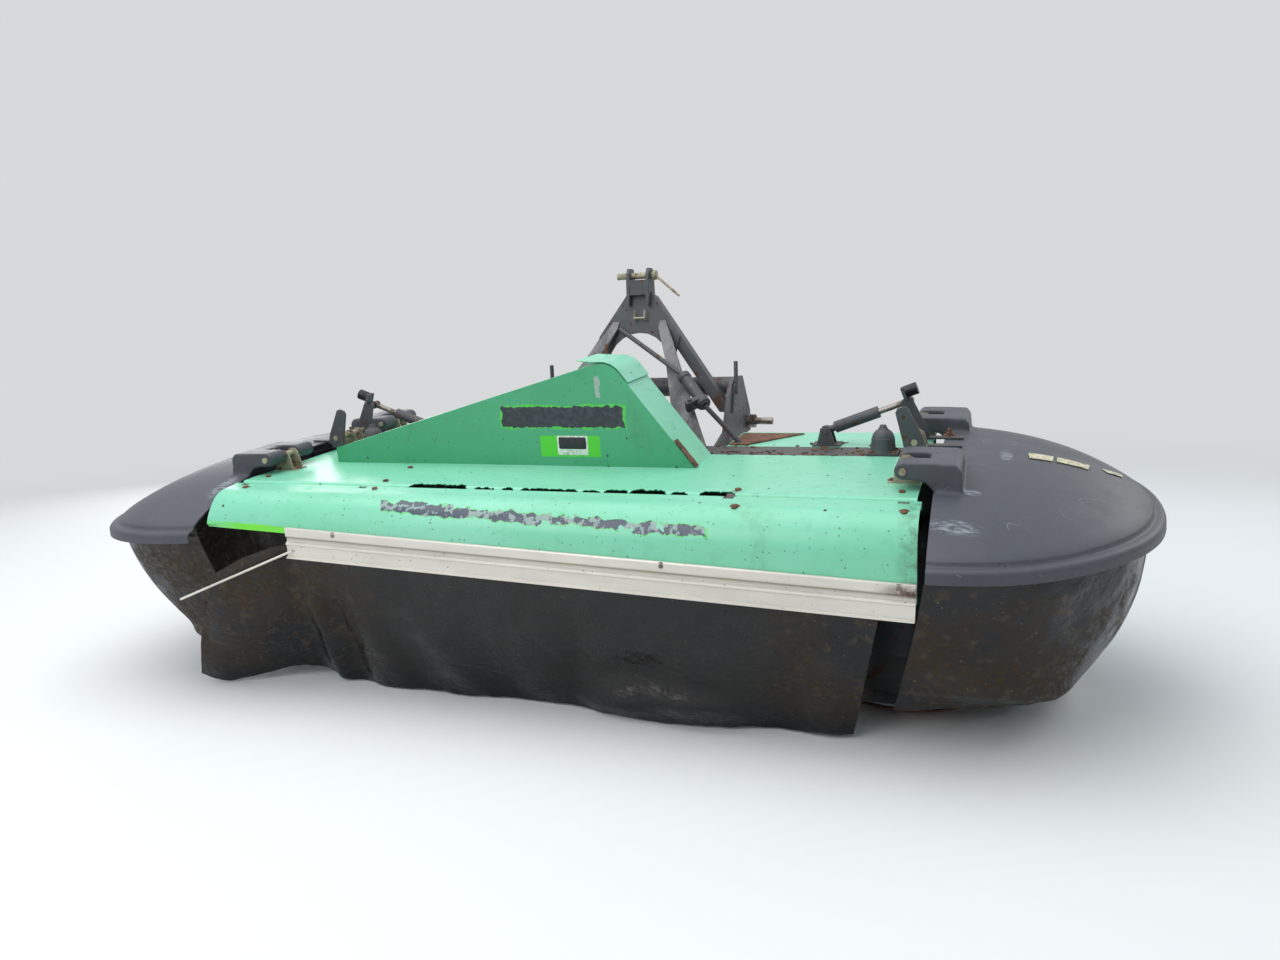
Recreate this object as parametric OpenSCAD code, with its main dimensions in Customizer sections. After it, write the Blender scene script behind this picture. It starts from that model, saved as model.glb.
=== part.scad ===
// Front-mounted drum mower with four drums, folding side covers and a lifting front flap.
// X runs across the machine, +Y towards the tractor, +Z up; the ground is at Z 0
// and the four drum axes stand in the plane Y 0.

/* [Drums] */
// Distance between neighbouring drum axes
drum_pitch = 720; // [690:5:760]
// Radius of a drum's upper cylinder
drum_r = 150; // [120:5:170]
// Radius of the disc at the foot of a drum
disc_r = 285; // [250:5:300]
// Radius to a blade's tip
blade_tip_r = 375; // [365:1:380]
// Blades on each drum
blade_count = 3; // [2:1:3]
// Wall of a drum
drum_wall = 6; // [4:1:10]
// Radius of a skid dish
dish_r = 240; // [200:5:250]
// Radius of the flat sole of a skid dish
dish_sole_r = 95; // [70:5:120]

/* [Hood] */
// Height of the side covers' rim plane above the ground at the drum line
hood_z = 648; // [620:1:680]
// Forward slope of the panels and covers, in degrees
hood_slope = 5.2; // [3:0.1:6.5]
// Height of the green panels above the rim plane
panel_h = 100; // [90:1:110]
// Half length of the panels along X
panel_half = 1135; // [1100:1:1140]
// Thickness of the green sheet metal
sheet = 3; // [2:0.5:4]

/* [Front flap] */
// Half length of the flap along X
flap_half = 1148; // [1120:1:1155]
// Height of the aluminium rail
rail_h = 102; // [80:1:115]
// Left end of the rail
rail_left = -826; // [-900:1:-780]
// Right end of the rail
rail_right = 1148; // [1050:1:1155]
// Slant of the bent rail, whose left end is higher, in degrees
rail_tilt = 2.15; // [0:0.05:2.5]
// Thickness of the rubber curtains
rubber = 5; // [4:0.5:8]

/* [Side covers] */
// Distance from the machine's centre to a cover's inner edge
cover_in = 1172; // [1165:1:1200]
// Width of a cover's top out to its step
cover_w = 575; // [520:5:600]
// Half length of a cover's top along Y
cover_half = 795; // [740:1:820]
// Y of the middle of a cover
cover_mid = 135; // [110:1:150]
// Rise of the domed top
cover_rise = 135; // [110:1:150]
// Wall of the moulded plastic
cover_wall = 5; // [4:0.5:8]
// Drop of a cover's outer side for each millimetre outwards
cover_droop = 0.026; // [0:0.001:0.05]

/* [Headstock] */
// Y of the top link pin
top_pin_y = 577; // [500:1:620]
// Height of the top link pin
top_pin_z = 1402; // [1300:1:1450]
// Radius of the top link pin
top_pin_r = 12.7; // [9.5:0.1:16]
// Y of the lower link pins
low_pin_y = 763; // [700:1:800]
// Height of the lower link pins
low_pin_z = 812; // [780:1:850]
// Radius of the lower link pins
low_pin_r = 14; // [11:0.5:18]
// Distance between the lower link pins' shoulders
low_pin_span = 825; // [700:1:900]

/* [Hidden] */

// Circles are true circles past 12 facets; this sets how fine the preview is.
$fn = 48;
// Radial clearance of a running fit, gap between moving parts and gap at a seat.
fit = 0.05;
clear = 5;
seat = 0.3;

green = [0.35, 0.75, 0.56];
plastic = [0.27, 0.28, 0.31];
steel_grey = [0.24, 0.25, 0.27];
rust = [0.38, 0.25, 0.17];
rubber_black = [0.09, 0.09, 0.10];
alloy = [0.80, 0.79, 0.76];
galvanised = [0.72, 0.68, 0.58];

// X of the drum axes, from left to right.
DRUM_X = [for (place = [-1.5, -0.5, 0.5, 1.5]) place * drum_pitch];
// Angle of a drum's first blade. Neighbours turn opposite ways, half a blade's step apart.
function blade_phase(i) = (i % 2) * (180 + 180 / blade_count);
disc_z = 70;
disc_t = 6;
drum_top = 570;
shaft_r = 30;
stub_r = 25;
dish_rim_z = 40;
dish_t = 4;
blade_z = 56;
blade_t = 4;
blade_w = 48;
blade_pin_r = disc_r - 22;

beam_low = 612;
beam_half_y = 100;
beam_boss_r = 130;
lid_t = 12;
lid_lip = 12;
neck_r = 85;
neck_low = drum_top + clear;
shaft_top = 655;

panel_front = -414;
panel_rear = 100;
panel_lip = 42;
panel_rear_lip = 28;
// The beam's lid stays under the sloping panel, at its own front and at the panel's rear lip.
lid_top = min(
    hood_point([0, panel_rear - sheet, panel_h - panel_rear_lip]).z,
    hood_point([0, -beam_boss_r - lid_lip, panel_h - sheet]).z
) - seat;
beam_high = lid_top - lid_t;
channel_rear = 250;
rear_panel_rear = 508;
rear_panel_in = 430;
rear_panel_half = 1130;
channel_in = 150;
channel_t = 4;

flap_axis_y = panel_front - 14;
flap_axis_h = panel_h - 14;
bead_r = 9;
hinge_pin_r = 5;
knuckle_len = 30;
hinge_leaf_up = 4;
FLAP_HINGES = [-1100, -620, 620, 1100];
rail_face_y = -582;
rail_top_h = -35;
rail_hold = 55;

cover_axis_x = 1090;
cover_axis_h = 158;
lug_r = 24;
lug_w = 80;
lug_gap = 72;
lug_pin_r = 10;
lug_out = 1240;
// Y of the middle of each lug pair, from the cover's middle.
LUG_PAIRS = [-357, 340];

lever_y = 150;
lever_len = 118;
lever_lean = 20;
lever_t = 8;
lever_gap = 170;
lever_pin = 100;
lever_plate_y = (lever_gap + lever_t) / 2;
lever_bracket_y = 170;
boss_r = 12;
boss_len = 25;
foot_t = 6;
foot_bar_y = 112;
foot_bar_w = 34;
foot_bar_out = 140;
cyl_y = 290;
cyl_base_x = 778;
cyl_base_h = 150;
cyl_r = 20;
cyl_pin_r = 9;
rod_r = 10;
cyl_neck_r = 12;
cyl_from = 34;
cyl_len = 190;
eye_r = 17;
eye_w = 28;

// Moves children into the sloping frame of the hood, whose Z 0 is the rim plane.
module on_hood() {
    translate([0, 0, hood_z]) rotate([hood_slope, 0, 0]) children();
}

// A point of the hood's frame in the machine's frame.
function hood_point(p) = [
    p.x,
    p.y * cos(hood_slope) - p.z * sin(hood_slope),
    hood_z + p.y * sin(hood_slope) + p.z * cos(hood_slope)
];

// Extrudes a Y-Z outline along X, centred on x.
module along_x(length, outline, x = 0) {
    translate([x, 0, 0]) rotate([90, 0, 90]) linear_extrude(height = length, center = true) polygon(outline);
}

// Extrudes an X-Z outline along Y, centred on y.
module along_y(length, outline, y = 0) {
    translate([0, y, 0]) rotate([90, 0, 0]) linear_extrude(height = length, center = true) polygon(outline);
}

// A bar with its axis along X or Y, centred on its own middle.
module bar_x(r, length) {
    rotate([0, 90, 0]) cylinder(r = r, h = length, center = true);
}
module bar_y(r, length) {
    rotate([90, 0, 0]) cylinder(r = r, h = length, center = true);
}

// A bar between two points.
module rod_between(a, b, r) {
    d = b - a;
    translate(a)
        rotate([0, acos(d.z / norm(d)), atan2(d.y, d.x)])
            cylinder(r = r, h = norm(d));
}

// Points of an arc in the plane, from one angle to another.
function arc(centre, r, from, to, steps) =
    [for (i = [0:steps]) let (a = from + (to - from) * i / steps) centre + r * [cos(a), sin(a)]];

// Unit vector from a to b, and the vector a quarter turn to its right.
function unit(a, b) = (b - a) / norm(b - a);
function right_of(u) = [u.y, -u.x];

// A strip of constant thickness under an open line of points.
function strip(line, t) = let (n = len(line)) concat(
    line,
    [for (i = [n - 1:-1:0])
        let (
            u = i > 0 ? unit(line[i - 1], line[i]) : unit(line[0], line[1]),
            v = i < n - 1 ? unit(line[i], line[i + 1]) : u
        )
        line[i] + t * (right_of(u) + right_of(v)) / (1 + u * v)]
);

// A closed outline, drawn anticlockwise, with each side moved in by t.
function inset(outline, t) = let (n = len(outline)) [
    for (i = [0:n - 1])
        let (
            u = unit(outline[(i + n - 1) % n], outline[i]),
            v = unit(outline[i], outline[(i + 1) % n])
        )
        outline[i] - t * (right_of(u) + right_of(v)) / (1 + u * v)
];

// Points of the arc that rounds the corner b between a and c.
function rounded(a, b, c, r, steps) =
    let (
        u = unit(b, a),
        v = unit(b, c),
        half = acos(u * v) / 2,
        centre = b + (u + v) / norm(u + v) * r / sin(half),
        p = b + u * r / tan(half) - centre,
        q = b + v * r / tan(half) - centre,
        from = atan2(p.y, p.x),
        turn = (atan2(q.y, q.x) - from + 540) % 360 - 180
    )
    arc(centre, r, from, from + turn, steps);

// Gear beam with the bearings of the drums
module gear_beam() {
    color(steel_grey) difference() {
        union() {
            beam_outline(beam_low, beam_high, 0);
            beam_outline(beam_high, beam_high + lid_t, lid_lip);
            for (x = DRUM_X)
                translate([x, 0, neck_low]) cylinder(r = neck_r, h = beam_low - neck_low + 1);
        }
        for (x = DRUM_X)
            translate([x, 0, 0]) cylinder(r = shaft_r + fit, h = shaft_top + 1);
    }
}

module beam_outline(low, high, lip) {
    span = DRUM_X[3] - DRUM_X[0];
    half = beam_half_y + lip;
    translate([-span / 2, -half, low]) cube([span, 2 * half, high - low]);
    for (x = DRUM_X)
        translate([x, 0, low]) cylinder(r = beam_boss_r + lip, h = high - low);
}

// Room for the beam's round bosses and for the lid over them.
module boss_room() {
    for (x = DRUM_X) translate([x, 0, 0]) {
        translate([0, 0, beam_low - seat]) cylinder(r = beam_boss_r + seat, h = beam_high - beam_low + seat);
        translate([0, 0, beam_high - seat]) cylinder(r = beam_boss_r + lid_lip + seat, h = lid_t + 2 * seat);
    }
}

gearbox_half = 110;
gearbox_y = 2;
gearbox_deep = 184;
gearbox_top = 930;
input_z = 850;
input_y = 330;
gearbox_rear = gearbox_y + gearbox_deep / 2;

module centre_gearbox() {
    color(steel_grey) difference() {
        union() {
            translate([-gearbox_half, gearbox_y - gearbox_deep / 2, lid_top])
                cube([2 * gearbox_half, gearbox_deep, gearbox_top - lid_top]);
            translate([0, gearbox_y, gearbox_top]) cylinder(r = 70, h = 22);
            translate([0, gearbox_rear, input_z]) rotate([-90, 0, 0]) cylinder(r = 75, h = 60);
            translate([0, gearbox_rear, input_z]) rotate([-90, 0, 0]) cylinder(r = 52, h = input_y - gearbox_rear);
        }
        translate([0, input_y - 120, input_z]) rotate([-90, 0, 0]) cylinder(r = 20 + fit, h = 121);
    }
}

module input_shaft() {
    color(steel_grey) translate([0, 0, input_z]) rotate([-90, 0, 0]) {
        translate([0, 0, input_y - 118]) cylinder(r = 20, h = 124);
        difference() {
            translate([0, 0, input_y + 6]) cylinder(r = 17.4, h = 84);
            for (k = [0:5])
                rotate(k * 60) translate([14.6, -4.4, input_y + 14]) cube([6, 8.8, 90]);
            translate([0, 0, input_y + 60]) difference() {
                cylinder(r = 20, h = 7);
                cylinder(r = 14.6, h = 7);
            }
        }
    }
}

// Bell-shaped castings over the outer drums' bearings.
bell_x = 985;
bell_y = 152;
bell_r = 40;
bell_h = 96;
bell_flange = [100, 88, 9];
module drive_bells() {
    wall = concat(
        [[0, 0], [bell_r + 3, 0], [bell_r, 16], [bell_r - 3, bell_h - 42]],
        arc([0, bell_h - 46], bell_r - 4, 8, 62, 5),
        [[12, bell_h - 6], [10, bell_h], [0, bell_h]]
    );
    color(steel_grey) on_hood() for (s = [-1, 1])
        translate([s * bell_x, bell_y, panel_h]) {
            translate([-bell_flange.x / 2, -bell_flange.y / 2, 0]) cube(bell_flange);
            rotate_extrude() polygon(wall);
        }
}

// Drums, blades and skid dishes
module drum(i) {
    outer = [[shaft_r, disc_z], [disc_r, disc_z], [disc_r, disc_z + disc_t], [disc_r - 60, disc_z + 16],
        [drum_r + 45, disc_z + 48], [drum_r + 8, disc_z + 110], [drum_r, disc_z + 160], [drum_r, drum_top - 10],
        [drum_r - 10, drum_top], [shaft_r, drum_top], [0, drum_top], [0, disc_z]];
    inner = [[0, disc_z + drum_wall], [disc_r - 70, disc_z + drum_wall], [disc_r - 70, disc_z + 13],
        [drum_r + 40, disc_z + 42], [drum_r + 2, disc_z + 106], [drum_r - drum_wall, disc_z + 160],
        [drum_r - drum_wall, drum_top - drum_wall], [0, drum_top - drum_wall]];
    color(steel_grey) translate([DRUM_X[i], 0, 0]) {
        rotate_extrude() difference() {
            polygon(outer);
            polygon(inner);
        }
        translate([0, 0, drum_top - 1]) cylinder(r = shaft_r, h = shaft_top - drum_top);
        translate([0, 0, dish_t + 14]) cylinder(r = stub_r, h = disc_z - dish_t - 13);
        for (k = [0:blade_count - 1])
            rotate(blade_phase(i) + (k + 0.5) * 360 / blade_count)
                translate([drum_r - 2, -5, disc_z + 150]) cube([22, 10, 300]);
    }
}

module blades(i) {
    color(rust) translate([DRUM_X[i], 0, 0])
        for (k = [0:blade_count - 1])
            rotate(blade_phase(i) + k * 360 / blade_count) {
                translate([blade_pin_r, 0, blade_z]) cylinder(r = 9, h = disc_z - blade_z);
                translate([blade_pin_r - 22, -blade_w / 2, blade_z])
                    cube([blade_tip_r - blade_pin_r + 18, blade_w, blade_t]);
            }
}

module skid_dish(i) {
    line = concat([[0, 0], [dish_sole_r, 0]], [[dish_r - 22, dish_rim_z - 10], [dish_r, dish_rim_z]]);
    color(rust) translate([DRUM_X[i], 0, 0]) difference() {
        rotate_extrude() polygon(concat(line, [[dish_r - 5, dish_rim_z + 3], [dish_r - 26, dish_rim_z - 6],
            [dish_sole_r, dish_t], [48, dish_t], [48, disc_z - clear], [0, disc_z - clear]]));
        translate([0, 0, dish_t + 14 - clear]) cylinder(r = stub_r + fit, h = disc_z);
    }
}

// Green sheet metal
module front_panel() {
    line = concat(
        [[panel_rear, panel_h - panel_rear_lip], [panel_rear, panel_h]],
        arc([panel_front + 14, panel_h - 14], 14, 90, 180, 5),
        [[panel_front, panel_h - panel_lip]]
    );
    color(green) difference() {
        on_hood() difference() {
            along_x(2 * panel_half, strip([for (i = [len(line) - 1:-1:0]) line[i]], sheet));
            for (x = FLAP_HINGES)
                translate([x - knuckle_len / 2 - 3, panel_front - 1, panel_h - 60])
                    cube([knuckle_len + 6, 12, flap_axis_h + hinge_leaf_up + 1 - panel_h + 60]);
        }
        translate([-gearbox_half - seat, gearbox_y - gearbox_deep / 2 - seat, lid_top])
            cube([2 * (gearbox_half + seat), gearbox_deep + 2 * seat, 100]);
    }
}

module beam_cover() {
    length = rear_panel_half - channel_in;
    color(steel_grey) difference() {
        on_hood() for (s = [-1, 1])
            translate([s * (channel_in + length / 2) - length / 2, panel_rear + seat, panel_h - channel_t])
                cube([length, channel_rear - panel_rear - 2 * seat, channel_t]);
        strut_plates(seat);
    }
}

module rear_panels() {
    line = [[channel_rear, panel_h], [rear_panel_rear, panel_h], [rear_panel_rear, panel_h - 45]];
    length = rear_panel_half - rear_panel_in;
    color(green) on_hood() for (s = [-1, 1])
        along_x(length, strip(line, sheet), s * (rear_panel_in + length / 2));
}

deck_t = 5;
module deck_plate() {
    color(rust) on_hood() translate([0, 0, panel_h]) linear_extrude(height = deck_t)
        polygon([[rear_panel_in + 10, 262], [500, 262], [668, 470], [rear_panel_in + 10, 470]]);
}

// Fairing over the centre gearbox: a low left end, a rounded peak and a steep right side
fairing_left = -966;
fairing_right = 421;
fairing_end_h = 56;
fairing_peak = [144, 357];
fairing_round = 80;
fairing_front = -104;
fairing_deep = 200;

// Its face, from a height low upwards, above the panel.
function fairing_face(low) = concat(
    [[fairing_left, low], [fairing_right + low * (fairing_peak.x - fairing_right) / fairing_peak.y, low]],
    rounded([fairing_right, 0], fairing_peak, [fairing_left, fairing_end_h], fairing_round, 8),
    [[fairing_left, fairing_end_h]]
);

module fairing() {
    color(green) on_hood() translate([0, fairing_front + fairing_deep / 2, panel_h]) difference() {
        along_y(fairing_deep, fairing_face(0));
        along_y(fairing_deep, inset(fairing_face(-20), sheet), sheet);
    }
}

// Brackets that carry the panels off the gear beam
BRACKETS = [-1080, -700, 700, 1080];
module front_brackets() {
    color(steel_grey) difference() {
        for (x = BRACKETS) along_x(8, [
            [-beam_half_y, beam_low + 8], [-beam_half_y, lid_top - lid_t],
            [-beam_half_y - lid_lip, lid_top - lid_t], [-beam_half_y - lid_lip, lid_top + 60],
            [-395, lid_top + 60], [-395, hood_z + 10], [-330, hood_z - 6]
        ], x);
        above_hood(panel_h - sheet);
        boss_room();
    }
}

module above_hood(h) {
    on_hood() translate([-2000, -1000, h]) cube([4000, 2000, 600]);
}

module rear_brackets() {
    tail = rear_panel_rear - 30;
    color(steel_grey) difference() {
        for (x = BRACKETS) along_x(8, [
            [beam_half_y, beam_low + 8], [beam_half_y, lid_top - lid_t],
            [beam_half_y + lid_lip, lid_top - lid_t], [beam_half_y + lid_lip, lid_top + 120],
            [tail, lid_top + 120], [tail, hood_z + 70], [330, hood_z + 10]
        ], x);
        above_hood(panel_h - channel_t);
        boss_room();
    }
}

// Brackets under the side covers' hinges and fold levers, with their pins. Column 0 is the Y
// of a bracket's middle, column 1 the length of its pin.
HINGES = [
    [cover_mid + LUG_PAIRS[0], lug_gap + 2 * lug_w + 16],
    [cover_mid + LUG_PAIRS[1], lug_gap + 2 * lug_w + 16],
    [lever_bracket_y, 2 * (lever_plate_y + lever_bracket_y - lever_y + lever_t)]
];
bracket_half = 30;
module cover_hinge_brackets() {
    base = [cover_axis_x - 50, cover_axis_x + 42];
    ear = [[base[0] + 12, panel_h], [base[1], panel_h], [cover_axis_x + 20, cover_axis_h + 8],
        [cover_axis_x + 8, cover_axis_h + 16], [cover_axis_x - 12, cover_axis_h + 16],
        [cover_axis_x - 24, cover_axis_h + 4]];
    color(galvanised) on_hood() for (s = [-1, 1], g = HINGES) mirror([s < 0 ? 1 : 0, 0, 0])
        translate([0, g[0], 0]) {
            translate([base[0], -bracket_half, panel_h]) cube([base[1] - base[0], 2 * bracket_half, 5]);
            for (k = [-1, 1]) along_y(6, ear, k * (bracket_half - 6));
            translate([cover_axis_x, 0, cover_axis_h]) bar_y(lug_pin_r, g[1]);
        }
}

module flap_hinges() {
    leaf = concat(
        [[flap_axis_y, flap_axis_h - 3], [panel_front + 20, flap_axis_h - 3], [panel_front + 60, panel_h - sheet - 5],
        [panel_front + 60, panel_h - sheet], [panel_front + 18, panel_h - sheet], [panel_front + 4, flap_axis_h + hinge_leaf_up],
        [flap_axis_y, flap_axis_h + hinge_leaf_up]]
    );
    color(steel_grey) on_hood() for (x = FLAP_HINGES) {
        along_x(knuckle_len, leaf, x);
        translate([x, flap_axis_y, flap_axis_h]) {
            bar_x(bead_r, knuckle_len);
            bar_x(hinge_pin_r, knuckle_len + 60);
        }
    }
}

// Front flap: rolled edge round the hinge axis, then a sheet bent down to the rail
flap_bend_r = 105;
// Height of the bent rail's top edge at x, in the hood's frame.
function rail_top(x) = rail_top_h - x * tan(rail_tilt);

module front_flap() {
    line = concat(
        [[rail_face_y, rail_top(flap_half) - rail_hold]],
        arc([rail_face_y + flap_bend_r, flap_axis_h + bead_r - 5 - flap_bend_r], flap_bend_r, 172, 90, 8),
        [[flap_axis_y - 30, flap_axis_h + bead_r - 4], [flap_axis_y - 2, flap_axis_h + bead_r]]
    );
    bare = 22;
    color(green) on_hood() difference() {
        union() {
            along_x(2 * flap_half, strip(line, sheet));
            translate([0, flap_axis_y, flap_axis_h]) bar_x(bead_r, 2 * flap_half);
        }
        translate([0, flap_axis_y, flap_axis_h]) bar_x(hinge_pin_r + fit, 3000);
        for (x = FLAP_HINGES)
            translate([x - knuckle_len / 2 - 1, flap_axis_y - 20, flap_axis_h - 20]) cube([knuckle_len + 2, 40, 40]);
        // The lower edge follows the rail, and is bare past the rail's left end.
        along_y(200, [
            [-flap_half - 1, rail_top(-flap_half) - bare], [rail_left, rail_top(rail_left) - bare],
            [rail_left, rail_top(rail_left) - rail_hold], [flap_half + 1, rail_top(flap_half) - rail_hold],
            [flap_half + 1, -300], [-flap_half - 1, -300]
        ], rail_face_y);
    }
}

// Section of the rail: columns are the way out from the flap and the share of its height.
RAIL = [[0, 0], [9, 0], [12, -0.04], [12, -0.29], [6, -0.35], [6, -0.45], [15, -0.51], [15, -0.55], [10, -0.59],
    [10, -0.92], [18, -0.96], [18, -1], [0, -1]];
module at_rail() {
    on_hood() translate([0, rail_face_y, rail_top_h]) rotate([0, rail_tilt, 0]) children();
}

module front_rail() {
    color(alloy) at_rail()
        along_x(rail_right - rail_left, [for (p = RAIL) [-p.x, p.y * rail_h]], (rail_left + rail_right) / 2);
}

// Front curtain. Columns of each station: X at the rail, X, Y and height of the foot, drop of
// the top under the rail's line, and the way out in front of the rail, both for the loose end.
CURTAIN = [
    [-1112, -1298, -532, 36, 117, 82],
    [-1045, -1204, -514, 8, 84, 77],
    [-978, -1092, -464, 24, 48, 64],
    [-880, -982, -410, 52, 12, 30],
    [-834, -934, -378, 42, 4, 0],
    [-800, -890, -354, 30, 0, 0],
    [-640, -745, -384, 8, 0, 0],
    [-420, -559, -405, 8, 0, 0],
    [-20, -45, -384, 8, 0, 0],
    [270, 256, -427, 8, 0, 0],
    [560, 516, -433, 8, 0, 0],
    [1051, 963, -366, 8, 0, 0]
];

// Four levels of a station: at the flap, under the rail, half way down and the foot.
function curtain_station(c) =
    let (
        y = rail_face_y + seat - c[5],
        top = hood_point([c[0], y, rail_top(c[0]) - rail_hold - seat - c[4]]),
        knee = hood_point([c[0], y, rail_top(c[0]) - rail_h - c[4]]),
        foot = [c[1], c[2], c[3]]
    )
    [top, knee, (knee + foot) / 2 + [0, -12, 0], foot];

module front_curtain() {
    stations = [for (c = CURTAIN) curtain_station(c)];
    color(rubber_black)
        loft([for (s = stations) concat(s, [for (k = [len(s) - 1:-1:0]) s[k] + [0, rubber, 0]])]);
}

// A sheet through rings of points. Each ring runs along one face and back along the other.
module loft(rings) {
    n = len(rings);
    m = len(rings[0]);
    function at(i, k) = i * m + k % m;
    polyhedron(
        [for (r = rings) each r],
        concat(
            [for (k = [0:m / 2 - 2]) [at(0, k), at(0, k + 1), at(0, m - 2 - k), at(0, m - 1 - k)]],
            [for (k = [0:m / 2 - 2]) [at(n - 1, k), at(n - 1, m - 1 - k), at(n - 1, m - 2 - k), at(n - 1, k + 1)]],
            [for (i = [0:n - 2], k = [0:m / 2 - 1]) [at(i, k), at(i + 1, k), at(i + 1, k + 1)]],
            [for (i = [0:n - 2], k = [0:m / 2 - 1]) [at(i, k), at(i + 1, k + 1), at(i, k + 1)]],
            // The back is cut into the same triangles as the front, so no wall passes through the other.
            [for (i = [0:n - 2], k = [m / 2:m - 1]) [at(i, k), at(i + 1, k), at(i, k + 1)]],
            [for (i = [0:n - 2], k = [m / 2:m - 1]) [at(i + 1, k), at(i + 1, k + 1), at(i, k + 1)]]
        ),
        convexity = 6
    );
}

// Thin rod that trails from the lower groove of the rail's broken end
trail_rod_r = 4;
module curtain_rod() {
    start = hood_point([rail_left + 20, rail_face_y - 10 - trail_rod_r - seat, rail_top(rail_left) - 0.75 * rail_h]);
    color(alloy) rod_between(start, [-1177, -702, 359], trail_rod_r);
}

// Domed side covers. Columns of the profile: share of the way out from the middle of the
// inner edge, distance out past that, and height above the dome.
COVER_TOP = [[0, 0, 0], [0.25, 0, 0], [0.45, 0, 0], [0.62, 0, 0], [0.76, 0, 0], [0.87, 0, 0], [0.95, 0, 0], [1, 0, -3],
    [1, 5, -14], [1, 22, -17], [1, 32, -22], [1, 35, -30], [1, 36, -54]];
cover_steps = 28;
function dome(r) = cover_rise * (1 - pow(r, 3));

// The same profile for the underside, a wall's thickness in.
cover_section = [for (p = COVER_TOP) [cover_w * p[0] + p[1], dome(p[0]) + p[2]]];
cover_walls = strip(cover_section, cover_wall);
COVER_UNDER = let (m = len(COVER_TOP)) [
    for (i = [0:m - 1])
        let (shift = cover_walls[2 * m - 1 - i] - cover_walls[i])
        [COVER_TOP[i][0], COVER_TOP[i][1] + shift.x, COVER_TOP[i][2] + shift.y]
];

// A point of the profile's row p, at the angle t round the cover's middle.
function cover_point(p, t) =
    let (x = (cover_w * p[0] + p[1]) * cos(t))
    [cover_in + x, cover_mid + (cover_half * p[0] + p[1]) * sin(t), dome(p[0]) + p[2] - cover_droop * x];
function round_angle(j) = -90 + 180 * j / cover_steps;

module cover_shell() {
    last = len(COVER_TOP) - 1;
    rows = concat([for (k = [1:last]) COVER_TOP[k]], [for (k = [last:-1:1]) COVER_UNDER[k]]);
    q = len(rows);
    s = cover_steps;
    function at(k, j) = 2 + k * (s + 1) + j;
    function top(p, j) = p == 0 ? 0 : at(p - 1, j);
    function under(p, j) = p == 0 ? 1 : at(2 * last - p, j);
    polyhedron(
        concat(
            [cover_point(COVER_TOP[0], 0), cover_point(COVER_UNDER[0], 0)],
            [for (p = rows, j = [0:s]) cover_point(p, round_angle(j))]
        ),
        concat(
            [for (j = [0:s - 1]) [0, at(0, j + 1), at(0, j)]],
            [for (j = [0:s - 1]) [1, at(q - 1, j), at(q - 1, j + 1)]],
            [for (k = [0:q - 2], j = [0:s - 1]) [at(k, j), at(k, j + 1), at(k + 1, j + 1)]],
            [for (k = [0:q - 2], j = [0:s - 1]) [at(k, j), at(k + 1, j + 1), at(k + 1, j)]],
            [for (p = [0:last - 1]) [top(p, 0), top(p + 1, 0), under(p + 1, 0), under(p, 0)]],
            [for (p = [0:last - 1]) [under(p, s), under(p + 1, s), top(p + 1, s), top(p, s)]]
        ),
        convexity = 6
    );
}

module cover_lugs() {
    // Round nose on the hinge axis, with the body running out onto the dome.
    body = concat(
        arc([cover_axis_x, cover_axis_h], lug_r, 90, 270, 10),
        [[cover_axis_x + 60, cover_axis_h - lug_r - 8], [cover_axis_x + 100, 75], [lug_out + 6, 75],
        [lug_out, cover_axis_h + 8], [lug_out - 10, cover_axis_h + 18]]
    );
    web = [[cover_axis_x + 72, cover_axis_h + lug_r - 3], [cover_axis_x + 72, 100], [cover_axis_x + 100, 75], [lug_out + 6, 75],
        [lug_out, cover_axis_h + 6], [lug_out - 10, cover_axis_h + 16]];
    for (m = LUG_PAIRS) translate([0, cover_mid + m, 0]) difference() {
        union() {
            for (k = [-1, 1]) along_y(lug_w, body, k * (lug_gap + lug_w) / 2);
            along_y(lug_gap + 2, web);
        }
        translate([cover_axis_x, 0, cover_axis_h]) bar_y(lug_pin_r + fit, 400);
    }
}

module side_cover(side) {
    color(plastic) on_hood() mirror([side < 0 ? 1 : 0, 0, 0]) union() {
        cover_shell();
        cover_lugs();
    }
}

// Rubber skirt: from under the cover down to a smaller outline, whose front is worn and curled up
skirt_row = 7;
skirt_foot_in = 1152;
skirt_foot_w = 433;
skirt_foot_half = 530;
skirt_foot_mid = 115;
skirt_hem_z = 30;
skirt_curl = 85;
skirt_reach = 75;
// Levels of the skirt: share of the way down, and share of the way in towards the foot.
SKIRT = [[0, 0], [0.35, 0.06], [0.72, 0.4], [1, 1]];
function skirt_top(t) =
    let (p = COVER_UNDER[skirt_row])
    hood_point(cover_point([p[0], p[1], p[2]], t) - [0, 0, seat]);
function skirt_foot(t) =
    let (forwards = max(0, -sin(t)))
    [
        skirt_foot_in + skirt_foot_w * cos(t) - skirt_reach * pow(forwards, 12),
        skirt_foot_mid + skirt_foot_half * sin(t),
        skirt_hem_z + skirt_curl * pow(forwards, 2)
    ];

module side_curtain(side) {
    rings = [for (j = [0:cover_steps])
        let (
            t = round_angle(j),
            inwards = rubber * [cos(t), sin(t), 0],
            top = skirt_top(t),
            drop = skirt_foot(t) - top,
            line = [for (k = SKIRT) top + [drop.x * k[1], drop.y * k[1], drop.z * k[0]]]
        )
        concat([for (k = [len(line) - 1:-1:0]) line[k]], [for (p = line) p - inwards])
    ];
    color(rubber_black) mirror([side < 0 ? 1 : 0, 0, 0]) loft(rings);
}

// Fold levers: two plates on each cover's hinge axis, a buffer at the top and a foot bar on the cover
module at_lever(side) {
    on_hood() mirror([side < 0 ? 1 : 0, 0, 0]) translate([cover_axis_x, lever_y, cover_axis_h]) children();
}

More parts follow.
